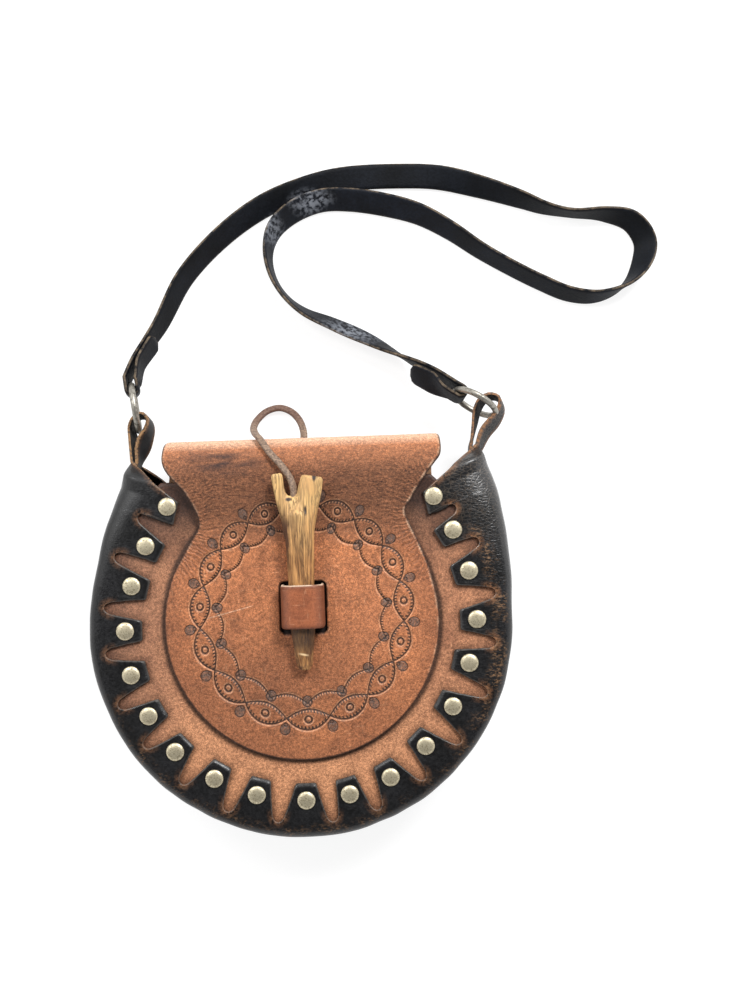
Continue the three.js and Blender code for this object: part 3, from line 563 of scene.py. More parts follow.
def leather_sheet(grid, facts):
    """A sheet through a table of points. Facts are numbers kept at each point for the finish."""
    columns = grid.shape[0] - 1
    rows = grid.shape[1] - 1
    mesh = bmesh.new()
    bmesh.ops.create_grid(mesh, x_segments=columns, y_segments=rows, size=0.5)
    layers = {name: mesh.verts.layers.float.new(name) for name in facts}
    for vert in mesh.verts:
        column = round((vert.co.x + 0.5) * columns)
        row = round((vert.co.y + 0.5) * rows)
        vert.co = grid[column, row]
        for name, layer in layers.items():
            vert[layer] = facts[name][column, row]
    return mesh


def cut_hole(mesh, outline, above):
    """Opens a hole above a height, where outline(x, y) is below zero, and trues up its edge."""
    def depth(spot):
        return outline(spot.x, spot.y)

    middles = {face: face.calc_center_median() for face in mesh.faces}
    inside = [face for face, middle in middles.items() if middle.z > above and depth(middle) < 0]
    rims = {vert for face in inside for vert in face.verts}
    bmesh.ops.delete(mesh, geom=inside, context="FACES")
    nudge = 0.05
    for vert in rims:
        if vert.is_valid:
            here = depth(vert.co)
            slope = Vector((
                depth(vert.co + Vector((nudge, 0, 0))) - here,
                depth(vert.co + Vector((0, nudge, 0))) - here,
            )) / nudge
            if slope.length > 0:
                vert.co.xy -= slope.normalized() * here


def cut_edges(grid):
    """The four lines along the edges of a table of points."""
    return [grid[0], grid[-1], grid[:, 0], grid[:, -1]]


def edge_distance(grid, rims):
    """Distance of each point of a table to the nearest of some lines, such as its cut edges."""
    fine = np.vstack([evenly(rim, RIM_FINENESS * len(rim)) for rim in rims])
    tree = kdtree.KDTree(len(fine))
    for index, spot in enumerate(fine):
        tree.insert(spot, index)
    tree.balance()
    return np.array([tree.find(spot)[2] for spot in grid.reshape(-1, 3)]).reshape(grid.shape[:2])


def new_object(name, mesh, finishes):
    """Turns a mesh in millimetres into a smooth object in metres."""
    bmesh.ops.scale(mesh, vec=(MM, MM, MM), verts=mesh.verts[:])
    data = bpy.data.meshes.new(name)
    mesh.to_mesh(data)
    mesh.free()
    for polygon in data.polygons:
        polygon.use_smooth = True
    for finish in finishes:
        data.materials.append(finish)
    thing = bpy.data.objects.new(name, data)
    bpy.context.collection.objects.link(thing)
    return thing


def add_piece(name, mesh, finishes, nodes):
    """Makes a piece of the bag on the root body, and hides the given nodes of the model."""
    piece = new_object(name, mesh, finishes)
    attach(piece, "root")
    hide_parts(*nodes)
    return piece


def add_leather(name, mesh, finishes, nodes, leather, rounding):
    """Makes a piece from a sheet, thinner at its rounded edge. Its inner face takes the last finish."""
    piece = add_piece(name, mesh, finishes, nodes)
    wall = piece.modifiers.new("thickness", "SOLIDIFY")
    wall.thickness = leather * MM
    wall.offset = 0
    wall.material_offset = len(finishes) - 1
    body = piece.vertex_groups.new(name="body")
    for index, edge in enumerate(piece.data.attributes["edge"].data):
        share = share_between(edge.value, 0, rounding)
        body.add([index], math.sqrt(1 - (1 - share) ** 2), "REPLACE")
    wall.vertex_group = "body"
    wall.thickness_vertex_group = EDGE_SHARE


def tube(way, sides, section):
    """A closed tube along a way. section(share along, angle round) gives two offsets across the way."""
    ahead = headings(way)
    side = np.cross(ahead[0], (0, 0, 1))
    mesh = bmesh.new()
    rings = []
    for index, (spot, course) in enumerate(zip(way, ahead)):
        side = side - course * side.dot(course)
        side = side / np.linalg.norm(side)
        lift = np.cross(side, course)
        ring = []
        for corner in range(sides):
            wide, high = section(index / (len(way) - 1), 2 * math.pi * corner / sides)
            ring.append(mesh.verts.new(spot + side * wide + lift * high))
        rings.append([mesh.edges.new((ring[corner - 1], ring[corner])) for corner in range(sides)])
    for before, after in zip(rings, rings[1:]):
        bmesh.ops.bridge_loops(mesh, edges=before + after)
    bmesh.ops.holes_fill(mesh, edges=rings[0] + rings[-1], sides=0)
    bmesh.ops.recalc_face_normals(mesh, faces=mesh.faces[:])
    return mesh


def round_section(radii):
    """The section of a round tube, from its radius at each of its points."""
    def section(share, angle):
        radius = radii[round(share * (len(radii) - 1))]
        return radius * math.cos(angle), radius * math.sin(angle)

    return section


def spun(mesh, axis, steps):
    """Spins a line or a ring a full turn round an axis through the origin, and closes its seam."""
    bmesh.ops.spin(
        mesh, geom=mesh.verts[:] + mesh.edges[:], cent=(0, 0, 0), axis=axis, angle=2 * math.pi,
        steps=steps, use_merge=True,
    )
    bmesh.ops.remove_doubles(mesh, verts=mesh.verts[:], dist=MERGE_DISTANCE)
    bmesh.ops.recalc_face_normals(mesh, faces=mesh.faces[:])
    return mesh


def turned(points, axis, steps):
    """A turned shape, from the points of its profile."""
    mesh = bmesh.new()
    verts = [mesh.verts.new(point) for point in points]
    for pair in zip(verts, verts[1:]):
        mesh.edges.new(pair)
    return spun(mesh, axis, steps)


# Finishes

def paint(colour):
    """A colour as it shows on a screen, 0 to 255, as the light that it reflects."""
    shares = [value / 255 for value in colour]
    return (*(s / 12.92 if s <= 0.04045 else ((s + 0.055) / 1.055) ** 2.4 for s in shares), 1)


class Wire:
    """One value that runs through a finish, so that sums on values read as plain Python."""

    def __init__(self, finish, socket):
        self.finish = finish
        self.socket = socket

    def work(self, operation, *others):
        values = dict(enumerate((self, *others)))
        return self.finish.node("ShaderNodeMath", {"operation": operation}, values)

    __add__ = __radd__ = partialmethod(work, "ADD")
    __sub__ = partialmethod(work, "SUBTRACT")
    __mul__ = __rmul__ = partialmethod(work, "MULTIPLY")
    __truediv__ = partialmethod(work, "DIVIDE")
    magnitude = partialmethod(work, "ABSOLUTE")
    floor = partialmethod(work, "FLOOR")
    root = partialmethod(work, "SQRT")
    least = partialmethod(work, "MINIMUM")
    most = partialmethod(work, "MAXIMUM")
    turn = partialmethod(work, "ARCTAN2")

    def __rsub__(self, other):
        return self.finish.node("ShaderNodeMath", {"operation": "SUBTRACT"}, {0: other, 1: self})

    def rise(self, low, high):
        """0 up to low, 1 from high on, and evenly between them."""
        return self.finish.node("ShaderNodeMapRange", {}, {0: self, 1: low, 2: high})

    def fall(self, low, high):
        """1 up to low, 0 from high on, and evenly between them."""
        return 1 - self.rise(low, high)


class Finish:
    """A finish of one of the bag's materials, built from nodes. Its colour is laid on in layers."""

    def __init__(self, name):
        self.material = bpy.data.materials.new(name)
        self.material.use_nodes = True
        self.tree = self.material.node_tree
        self.shader = self.tree.nodes["Principled BSDF"]
        metres = self.node("ShaderNodeTexCoord", output="Object")
        scale = {0: metres, "Scale": 1 / MM}
        self.place = self.node("ShaderNodeVectorMath", {"operation": "SCALE"}, scale)
        self.x = self.node("ShaderNodeSeparateXYZ", inputs={0: self.place}, output="X")
        self.y = Wire(self, self.x.socket.node.outputs["Y"])
        self.z = Wire(self, self.x.socket.node.outputs["Z"])

    def node(self, kind, settings=None, inputs=None, output=0):
        """Adds a node of any kind: its settings first, then the values or wires of its sockets."""
        node = self.tree.nodes.new(kind)
        for name, value in (settings or {}).items():
            setattr(node, name, value)
        for name, value in (inputs or {}).items():
            self.feed(node.inputs[name], value)
        return Wire(self, node.outputs[output])

    def feed(self, socket, value):
        if isinstance(value, Wire):
            self.tree.links.new(value.socket, socket)
        else:
            socket.default_value = value

    def set(self, **inputs):
        for name, value in inputs.items():
            self.feed(self.shader.inputs[name.replace("_", " ")], value)

    def fact(self, name):
        """A number kept at each point of the piece."""
        return self.node("ShaderNodeAttribute", {"attribute_name": name}, output="Fac")

    def stretched(self, along_x, along_y, along_z):
        """The place on the piece with each axis measured in its own unit."""
        units = (1 / along_x, 1 / along_y, 1 / along_z)
        return self.node("ShaderNodeVectorMath", {"operation": "MULTIPLY"}, {0: self.place, 1: units})

    def grain(self, size, detail=3.0, rough=0.5, at=None, swirl=0.0):
        """Soft random marks of the given size, 0 to 1."""
        inputs = {
            "Vector": at or self.place, "Scale": 1 / size, "Detail": detail, "Roughness": rough,
            "Distortion": swirl,
        }
        return self.node("ShaderNodeTexNoise", {}, inputs)

    def cells(self, size, feature="F1", at=None):
        """Distance to the nearest of scattered points, or to the line between two of them."""
        inputs = {"Vector": at or self.place, "Scale": 1 / size}
        return self.node("ShaderNodeTexVoronoi", {"feature": feature}, inputs)

    def mix(self, share, under, over):
        """Makes the finish a mixture of two colours, by a share from 0 to 1."""
        settings = {"data_type": "RGBA", "clamp_factor": True}
        self.colour = self.node("ShaderNodeMix", settings, {0: share, 6: under, 7: over}, output=2)

    def base(self, share, under, over):
        """Starts the finish from two colours."""
        self.mix(share, paint(under), paint(over))

    def dye(self, share, over):
        """Lays another colour over the finish so far."""
        self.mix(share, self.colour, paint(over))

    def shade(self, factor):
        """Makes the finish so far darker by a factor below 1, or lighter by one above."""
        inputs = {0: self.colour, "Scale": factor}
        self.colour = self.node("ShaderNodeVectorMath", {"operation": "SCALE"}, inputs)

    def reach(self, x, y):
        """Distance from a point on the front of the bag."""
        east = self.x - x
        north = self.y - y
        return (east * east + north * north).root()

    def scratch(self, start, end, width):
        """1 along a thin straight scratch on the front of the bag, 0 beside it."""
        span = Vector(end) - Vector(start)
        east = self.x - start[0]
        north = self.y - start[1]
        along = (east * span.x + north * span.y) / span.length
        aside = ((north * span.x - east * span.y) / span.length).magnitude()
        ends = along.rise(0, SCRATCH_FADE) * along.fall(span.length - SCRATCH_FADE, span.length)
        return (1 - aside / width).most(0) * ends

    def spot(self, x, y, half_x, half_y):
        """1 in the middle of an oval on the front of the bag, 0 at its edge and beyond."""
        wide = (self.x - x) / half_x
        high = (self.y - y) / half_y
        return (1 - (wide * wide + high * high).root()).most(0)

    def pleats(self, x, y):
        """Creases that fan out from a point on the front of the bag: 1 down in them, -1 on their ridges."""
        turns = (self.y - y).turn(self.x - x) * (PLEATS / 2 / math.pi)
        turns = turns + self.grain(7, detail=2) * PLEAT_WANDER
        wave = ((turns - turns.floor()) * 2 - 1).magnitude() * 2 - 1
        return wave * self.reach(x, y).fall(PLEAT_REACH / 2, PLEAT_REACH)

    def done(self, height, depth, **inputs):
        """The material, with its colour and a relief: a height times a depth in millimetres."""
        bump = {"Strength": 1.0, "Distance": depth * MM, "Height": height}
        self.set(Base_Color=self.colour, Normal=self.node("ShaderNodeBump", {}, bump), **inputs)
        return self.material


def tooled_border(x, y):
    """How far a point lies in a stamped line, in a pear and in a line's soft groove, each 0 to 1."""
    east = (x - BORDER_X) / BORDER_WIDENING
    north = (y - BORDER_Y) / BORDER_HEIGHTENING
    reach = (east * east + north * north).root()
    top_left = (north - east) / reach * math.sqrt(0.5)
    reach = reach * (1 + BORDER_DRAW_IN * (top_left - 0.5).most(0))
    sector = north.turn(east) * (ALMONDS / 2 / math.pi) - ALMONDS / 4 + BORDER_TURN * ALMONDS / 360
    sector = sector - ALMOND_SHIFT_SIDE * (east / reach) - ALMOND_SHIFT_LOW * (1 - north / reach)
    from_almond = sector - (sector + 0.5).floor()
    from_joint = sector - 0.5 - sector.floor()
    outward = reach - BORDER_RADIUS

    def teeth(share):
        turns = share * (2 * STAMP_TEETH)
        return ((turns - turns.floor()) * 2 - 1).magnitude().rise(*TOOTH_FLANK)

    def band(off, low, high):
        return (off - low).rise(*LINE_FLANK) * (high - off).rise(*LINE_FLANK)

    def distance(wide, long):
        return (wide * wide + long * long).root()

    def pear_stamp(turn, shape):
        """How far a point lies in an oval, and in the small round bead at its stem."""
        along = turn * (ALMOND_LENGTH * shape["reach"] / BORDER_RADIUS)
        out = reach - shape["reach"]
        from_bead = distance(along, out - shape["bead"]) - BEAD_RADIUS
        inside = 1 - distance(along / shape["half_width"], out / shape["half_length"])
        return inside, band(from_bead, *BEAD_LINE)

    from_side = outward.magnitude() - ALMOND_HALF_WIDTH * (1 - 4 * from_almond * from_almond)
    almond = band(from_side, ALMOND_LINE[0] - ALMOND_TOOTH * teeth(from_almond), ALMOND_LINE[1])
    from_dip = reach - SCALLOP_REACH + SCALLOP_DIP * (1 - 4 * from_joint * from_joint)
    scallop = band(from_dip, SCALLOP_LINE[0], SCALLOP_LINE[1] + SCALLOP_TOOTH * teeth(from_joint))
    from_seeder = distance(from_almond * ALMOND_LENGTH, outward) - SEEDER_RADIUS
    seeder = band(from_seeder, *SEEDER_LINE)
    from_line = from_side.magnitude().least(from_dip.magnitude()).least(from_seeder.magnitude())
    groove = (GROOVE_HALF_WIDTH - from_line).rise(0, GROOVE_HALF_WIDTH)
    outer, outer_bead = pear_stamp(from_joint, OUTER_PEAR)
    inner, inner_bead = pear_stamp(from_almond, INNER_PEAR)
    pears = outer.most(inner)
    pear = pears.rise(*PEAR_FLANK)
    rim = pear * (1 - pears.rise(*PEAR_RIM)) * PEAR_RIM_SHARE
    line = almond.most(scallop).most(seeder).most(rim).most(outer_bead).most(inner_bead)
    return line, pear, groove


def tan_leather(name, light, middle, deep):
    """Oiled tan leather: clouds and stains of colour under a strong grain."""
    finish = Finish(name)
    cloud = finish.grain(36, detail=3).rise(0.32, 0.68)
    stain = finish.grain(8, detail=6, rough=0.68, swirl=0.4).rise(0.46, 0.7)
    finish.base(cloud, middle, light)
    finish.dye(stain * 0.7, deep)
    level = finish.grain(1, detail=3, at=finish.stretched(9, 0.9, 9), swirl=0.3)
    upright = finish.grain(1, detail=3, at=finish.stretched(1, 10, 10), swirl=0.3)
    hairlines = level.most(upright).rise(0.64, 0.72)
    finish.dye(hairlines * 0.3, (226, 170, 128))
    pebble = finish.grain(1.7, detail=3, rough=0.7).rise(0.26, 0.74)
    pepper = finish.grain(0.6, detail=2, rough=0.7).rise(0.3, 0.7)
    finish.fine = pebble * 0.5 + pepper * 0.5
    finish.height = finish.fine * 0.6 + finish.cells(1.4) * 0.4
    return finish


def flap_leather():
    """Tan leather with the stamped border: patina and painted shade at the creased neck, painted highlights
    on the fold, creases, groove lips and right edge.
    """
    finish = tan_leather("flap_leather", (182, 115, 74), (158, 98, 63), (104, 62, 40))
    x, y, z = finish.x, finish.y, finish.z
    front = z.rise(*FLAP_FACE_Z)
    for *oval, share, colour in FLAP_TONES:
        finish.dye(finish.spot(*oval) * share, colour)
    rim = FLAP_RADIUS - finish.reach(*FLAP_CENTRE)
    finish.dye(rim.fall(*FLAP_RIM_SHADE) * y.fall(*FLAP_RIM_SHADE_Y) * 0.4, (118, 73, 50))
    # A dark patina at the neck, together with painted shade for the hollow below the fold, a little
    # stronger to the right
    neck = y.rise(*NECK_PATINA_AND_SHADE_LOW_Y) * y.fall(*NECK_PATINA_AND_SHADE_HIGH_Y) * front
    finish.dye(neck * (x.rise(*NECK_PATINA_AND_SHADE_X) * 0.06 + 0.92), (56, 27, 15))
    # Pale lines along the neck's creases: painted highlight on their ridges
    streaks = finish.grain(1, detail=5, rough=0.7, at=finish.stretched(6, 1.1, 30), swirl=1.2)
    creases = (1 - ((streaks - 0.5) * 7).magnitude()).most(0) * y.rise(*NECK_CREASE_Y)
    finish.dye(creases * 0.4, (190, 126, 86))
    # Painted shade down in the creases round the bites, and painted highlight on their ridges
    pleats = (finish.pleats(*LEFT_BITE) + finish.pleats(*RIGHT_BITE)) * front
    finish.shade(1 - pleats * 0.3)
    smear = finish.grain(5, detail=4, at=finish.stretched(4, 1, 4)).rise(0.3, 0.6)
    finish.dye(finish.spot(*NECK_SMEAR) * smear * 1.1, (50, 34, 32))
    # Painted highlight along the top of the fold
    fold_highlight = y.rise(*FOLD_HIGHLIGHT_Y) * z.rise(*FOLD_HIGHLIGHT_Z)
    finish.dye(fold_highlight * 0.85, (222, 176, 144))
    line, pear, groove = tooled_border(x, y)
    # Painted highlight on the lips beside the stamped grooves
    lip_highlight = groove.rise(*LIP_HIGHLIGHT_START) * groove.fall(*LIP_HIGHLIGHT_END)
    mottle = finish.grain(1.3, detail=2).rise(0.4, 0.6)
    finish.dye(lip_highlight * front * 0.35, (224, 168, 128))
    finish.dye(pear * front * (mottle * 0.4 + 0.5), (92, 76, 68))
    finish.dye(line * front * (mottle * 0.2 + 0.75), (38, 25, 21))
    finish.dye(finish.scratch(**FLAP_SCRATCH) * 0.5, (226, 190, 160))
    edge = finish.fact("edge")
    # Pale worn edge on the right side and the top, which is also painted highlight where the rounded edge
    # faces the light
    where = x.rise(*WORN_AND_LIT_SIDE_X) * y.rise(*WORN_AND_LIT_SIDE_Y) * 0.7 + y.rise(*WORN_AND_LIT_TOP_Y) * 0.5
    worn = edge.fall(*FLAP_WORN_AND_LIT_EDGE) * where * finish.grain(6, detail=4).rise(0.4, 0.56)
    finish.dye(worn * 0.7, (214, 172, 140))
    finish.dye(edge.fall(*FLAP_DARK_EDGE) * 0.9, (44, 26, 18))
    finish.shade((finish.fine * 2.5 - 0.26).most(0.6))
    roughness = finish.fine * 0.2 + 0.4 + neck * 0.2
    stamped = (line * 0.8 + groove * 1.3 + pear * 0.9) * front
    height = finish.height * 0.6 + creases * 0.5 - pleats * 0.4 - stamped
    return finish.done(height, 0.4, Roughness=roughness, Specular_IOR_Level=0.4)


def front_leather():
    """Tan leather, with painted shade where the flap covers it and along the teeth, and grime and painted
    shade towards its rim.
    """
    finish = tan_leather("front_leather", (188, 132, 96), (162, 110, 80), (116, 75, 54))
    x, y = finish.x, finish.y
    finish.dye(y.fall(*FRONT_PALE_Y) * 0.5, (204, 144, 102))
    # Painted shade on the top of the panel, under the flap
    finish.dye(y.rise(*FRONT_COVERED_SHADE_Y) * 0.95, (48, 30, 24))
    off = finish.reach(*FLAP_CENTRE) - FLAP_RADIUS
    finish.dye(off.fall(*FLAP_SHADE) * 0.4, (84, 52, 38))
    finish.dye(off.fall(*FLAP_DEEP_SHADE) * 0.75, (30, 19, 15))
    finish.dye(x.fall(*FRONT_DULL_X) * 0.6, (118, 86, 70))
    # Grime and painted shade towards the panel's rim, down in the notches between the teeth
    finish.dye(finish.reach(0, 0).rise(*FRONT_GRIME_AND_SHADE_RADIUS) * 0.45, (72, 42, 29))
    hole = finish.reach(KEEPER_X, KEEPER_Y).fall(*HOLE_SHADE)
    finish.dye(hole * 0.9, (20, 13, 11))
    # Painted shade on the panel along the gusset's teeth
    tooth_shade = finish.fact("tooth").fall(*TOOTH_SHADE)
    finish.dye(tooth_shade * tooth_shade * 0.6, (64, 40, 29))
    finish.shade((finish.fine * 2.3 - 0.18).most(0.6))
    return finish.done(finish.height, 0.14, Roughness=finish.fine * 0.2 + 0.42, Specular_IOR_Level=0.4)


def flesh_side(name, light, deep):
    """The rough inner face of a leather."""
    finish = Finish(name)
    nap = finish.grain(1.1, detail=5, rough=0.7)
    finish.base(nap.rise(0.3, 0.7), deep, light)
    return finish.done(nap, 0.4, Roughness=0.9)


def black_leather(name, light, deep):
    """Black leather with clouds of grey and a fine grain."""
    finish = Finish(name)
    finish.base(finish.grain(20, detail=4).rise(0.35, 0.65), deep, light)
    finish.edge = finish.fact("edge")
    finish.fray = finish.grain(1.8, detail=4, rough=0.72).rise(0.3, 0.7)
    finish.shade(finish.fray * 0.9 + 0.55)
    finish.height = finish.grain(0.9, detail=2) * 0.5 + finish.cells(1.3) * 0.5
    return finish


def gusset_leather():
    """Black leather, rubbed brown on its right side and at its cut edges, and polished at its top right."""
    finish = black_leather("gusset_leather", (22, 22, 24), (10, 10, 11))
    x, y, z, edge, fray = finish.x, finish.y, finish.z, finish.edge, finish.fray
    reach = finish.reach(0, 0)
    right = x.rise(*RUBBED_SIDE_X) * y.rise(*RUBBED_SIDE_Y)
    patch = finish.grain(9, detail=3).rise(0.4, 0.62)
    scuff = finish.grain(1.7, detail=5, rough=0.8, at=finish.stretched(1.5, 0.8, 1)).rise(0.5, 0.62) * patch
    low = y.fall(*RUBBED_LOW_Y) * reach.rise(*RUBBED_LOW_RADIUS) * (z.rise(*RUBBED_LOW_Z) * 0.35 + 0.08)
    band = reach.rise(*RUST_START_RADIUS) * reach.fall(*RUST_END_RADIUS) * y.fall(*RUST_TOP_Y)
    rust = scuff * (right * band + low)
    finish.dye(rust, (140, 104, 70))
    wrinkle = finish.cells(2.2, "DISTANCE_TO_EDGE", at=finish.stretched(1.6, 0.8, 1.6))
    hairs = wrinkle.fall(*HAIRLINE) * x.rise(*HAIRLINE_X) * y.rise(*HAIRLINE_Y)
    finish.dye(hairs * 0.4, (126, 112, 98))
    rubbed = edge.fall(*GUSSET_RUBBED_EDGE) * (fray * 0.8 + 0.1)
    finish.dye(rubbed * 0.5, (118, 106, 96))
    fuzz = edge.fall(*GUSSET_FUZZ_EDGE) * reach.rise(*GUSSET_FUZZ_RADIUS) * fray.rise(0.2, 0.8)
    finish.dye(fuzz * (right * 0.5 + 0.5), (150, 102, 66))
    tab = finish.fact("tab")
    nap = tab * edge.fall(*TAB_NAP_EDGE) * fray.rise(0.2, 0.7)
    finish.dye(nap * (0.9 - x.rise(*TAB_NAP_X) * 0.65), (160, 122, 82))
    polish = x.rise(*POLISH_X) * y.rise(*POLISH_Y) * z.rise(*POLISH_Z) * (1 - tab)
    roughness = fray * 0.2 + 0.27 + (rust + rubbed + tab) * 0.3 - polish * 0.06
    height = finish.height * 0.35 + wrinkle.rise(0, 0.2) * (right * 0.2 + 0.08)
    return finish.done(
        height, 0.25, Roughness=roughness, Coat_Weight=polish * 0.8 + 0.08, Coat_Roughness=0.25,
    )


def strap_leather(name, light, deep):
    """Dull black leather with pale worn edges, and pale scuffs that are partly painted sheen."""
    finish = black_leather(name, light, deep)
    worn = finish.edge.fall(*STRAP_WORN_EDGE) * finish.grain(5, detail=5, rough=0.7).rise(0.4, 0.64)
    finish.dye(worn * 0.6, (138, 120, 98))
    # Pale scuffs, partly painted sheen
    haze = finish.grain(2.5, detail=4).rise(0.4, 0.6)
    for *oval, share in STRAP_SCUFFS_AND_SHEEN:
        finish.dye(finish.spot(*oval) * haze * share, (126, 130, 138))
    return finish.done(finish.height, 0.15, Roughness=finish.fray * 0.2 + 0.5, Specular_IOR_Level=0.16)


def keeper_leather():
    """Reddish brown leather, darker at its sides and chafed pale at its upper edge."""
    finish = tan_leather("keeper_leather", (160, 95, 62), (144, 82, 52), (108, 60, 40))
    edge = finish.fact("edge")
    sides = (finish.x - KEEPER_X).magnitude().rise(*KEEPER_SIDE_SHADE)
    finish.dye(sides * 0.65, (80, 43, 29))
    finish.dye(edge.fall(*KEEPER_DARK_EDGE) * 0.5, (86, 46, 31))
    chafe = edge.fall(*KEEPER_CHAFED_EDGE) * finish.grain(4, detail=3).rise(0.3, 0.55)
    finish.dye(chafe * (finish.y - KEEPER_Y).rise(*KEEPER_CHAFED_RISE) * 0.9, (214, 190, 166))
    finish.shade(finish.fine * 0.9 + 0.55)
    return finish.done(finish.height, 0.12, Roughness=finish.fine * 0.16 + 0.4, Specular_IOR_Level=0.4)


def lace_leather():
    """Dry streaky leather, redder where the lace lies behind the fold."""
    finish = Finish("lace_leather")
    streak = finish.grain(1.3, detail=4, rough=0.65)
    finish.base(streak.rise(0.32, 0.68), (62, 44, 35), (158, 132, 110))
    finish.dye(finish.y.rise(*LACE_RED_Y) * 0.6, (80, 46, 36))
    return finish.done(streak, 0.2, Roughness=0.62)


def nickel(name, light, deep, speck_size):
    """Antique nickel: dull pale metal with darker specks."""
    finish = Finish(name)
    tarnish = finish.grain(speck_size, detail=4, rough=0.65)
    speck = tarnish.rise(0.48, 0.7)
    finish.base(speck, light, deep)
    return finish.done(tarnish, 0.08, Metallic=0.85, Roughness=speck * 0.2 + 0.42)


def twig_wood():
    """Peeled wood: long streaks and dark veins, paler at the fork, painted shade on its left side, and
    darker below the keeper.
    """
    finish = Finish("twig_wood")
    y = finish.y
    streak = finish.grain(1, detail=6, rough=0.7, at=finish.stretched(2.2, 34, 2.2), swirl=0.5)
    blotch = finish.grain(8, detail=5, at=finish.stretched(1, 2.6, 1)).rise(0.38, 0.62)
    rings = finish.grain(1, detail=3, at=finish.stretched(1.2, 60, 1.2), swirl=0.3)
    vein = (1 - ((rings - 0.48) * 13).magnitude()).most(0) * (blotch * 0.7 + 0.3)
    finish.base(streak.rise(0.38, 0.62), (96, 58, 32), (210, 154, 94))
    finish.dye(y.rise(*TWIG_PALE_Y) * (blotch * 0.45 + 0.4), (238, 196, 132))
    # Painted shade on the left side of the shaft
    shaded_side = finish.spot(*TWIG_SHADED_SIDE) * blotch.rise(0.2, 0.8)
    finish.dye(shaded_side * 1.5, (92, 58, 34))
    finish.dye(y.rise(*TWIG_DARK_LOW_Y) * y.fall(*TWIG_DARK_HIGH_Y) * 0.85, (66, 46, 31))
    finish.dye(vein * 0.8, (56, 34, 20))
    for nick in TOGGLE_NICKS:
        finish.dye(finish.spot(*nick) * 2, (56, 44, 38))
    finish.dye(finish.scratch(**TOGGLE_SCRATCH) * 1.3, (230, 198, 152))
    return finish.done(streak - vein * 0.7, 0.45, Roughness=streak * 0.2 + 0.36, Specular_IOR_Level=0.45)


FLAP_LEATHER = flap_leather()
FRONT_LEATHER = front_leather()
TAN_FLESH = flesh_side("tan_flesh", (176, 136, 104), (132, 98, 74))
GUSSET_BLACK = gusset_leather()
STRAP_BLACK = strap_leather("strap_black", (17, 20, 26), (9, 11, 15))
STRAP_FLESH = strap_leather("strap_flesh", (20, 24, 32), (11, 13, 18))
BLACK_FLESH = flesh_side("black_flesh", (42, 36, 32), (19, 17, 16))
KEEPER_BROWN = keeper_leather()
LACE_BROWN = lace_leather()
RIVET_NICKEL = nickel("rivet_nickel", (214, 203, 174), (134, 122, 98), 1.2)
RING_NICKEL = nickel("ring_nickel", (160, 156, 147), (76, 71, 63), 3.0)
TWIG_WOOD = twig_wood()


# Lace

def fold_point(reach):
    """Where the lace crosses the fold, by how far it stands from the fold's centre line."""
    angle = math.radians(LACE_FOLD_ANGLE)
    return (LACE_X, FOLD_Y + reach * math.sin(angle), BACK_RIM_Z + FOLD_RADIUS - reach * math.cos(angle))


def lace_section(share, angle):
    """A flat section with soft corners."""
    wide = math.cos(angle)
    high = math.sin(angle)
    square = max(abs(wide), abs(high)) ** LACE_SQUARENESS
    return LACE_WIDTH / 2 * wide / square, LACE_THICKNESS / 2 * high / square


def make_lace():
    exit_point = fold_point(FOLD_RADIUS + PANEL_LEATHER / 2)
    start = fold_point(FOLD_RADIUS - PANEL_LEATHER / 2)
    way = evenly(smooth_way([start, exit_point, *LACE_WAY], LACE_STEPS), LACE_POINTS)
    mesh = tube(way, LACE_SIDES, lace_section)
    lace = add_piece("lace", mesh, (LACE_BROWN,), ["toggle_thong"])
    centre = fold_point(FOLD_RADIUS - PANEL_LEATHER / 2 - GAP - KNOT_DROP)
    turns = np.linspace(0, 2 * math.pi, KNOT_POINTS, endpoint=False)
    trefoil = np.stack([
        np.sin(turns) + 2 * np.sin(2 * turns),
        np.cos(turns) - 2 * np.cos(2 * turns),
        -KNOT_DEPTH * np.sin(3 * turns),
    ], axis=1)
    mesh = tube(trefoil * KNOT_SIZE + centre, KNOT_SIDES, round_section([KNOT_CORD_RADIUS]))
    knot = add_piece("lace_knot", mesh, (LACE_BROWN,), [])
    [value * MM for value in exit_point]


# Gusset

def gusset_section(swing, reach):
    """One section of the gusset from its front edge, over the roll and down the wall, to its back edge."""
    def on_back(point):
        return point * (1, 1, -1) + (0, 0, 2 * GUSSET_MID_Z)

    end = LEFT_END if swing < 0 else RIGHT_END
    bend = share_between(abs(swing), SLANT_START, SLANT_END) ** 2
    wall_swing = swing - math.copysign(SLANT * bend, swing)
    flared = share_between(abs(wall_swing), end["flare_start"], FLARE_END) ** FLARE_POWER
    wall_radius = WALL_RADIUS + end["flare"] * flared
    edge = polar(reach, swing, GUSSET_TOP_Z)
    corner = polar(wall_radius, wall_swing, GUSSET_TOP_Z)
    wall = np.array([*corner[:2], lerp(WALL_TOP_Z, GUSSET_MID_Z + END_WALL_HALF, bend)])
    inward = edge - corner
    distance = np.linalg.norm(inward)
    shoulder = corner + inward / distance * min(wall_radius - SHOULDER_RADIUS, ROLL_SHARE * distance)
    flange = [lerp(edge, shoulder, share) for share in np.arange(FLANGE_ROWS) / FLANGE_ROWS]
    roll = [
        lerp(lerp(shoulder, corner, share), lerp(corner, wall, share), share)
        for share in np.arange(ROLL_ROWS) / ROLL_ROWS
    ]
    front = flange + roll
    side = [lerp(wall, on_back(wall), share) for share in np.linspace(0, 1, WALL_ROWS + 1)]
    back = [on_back(point) for point in reversed(front)]
    return np.array(front + side + back)


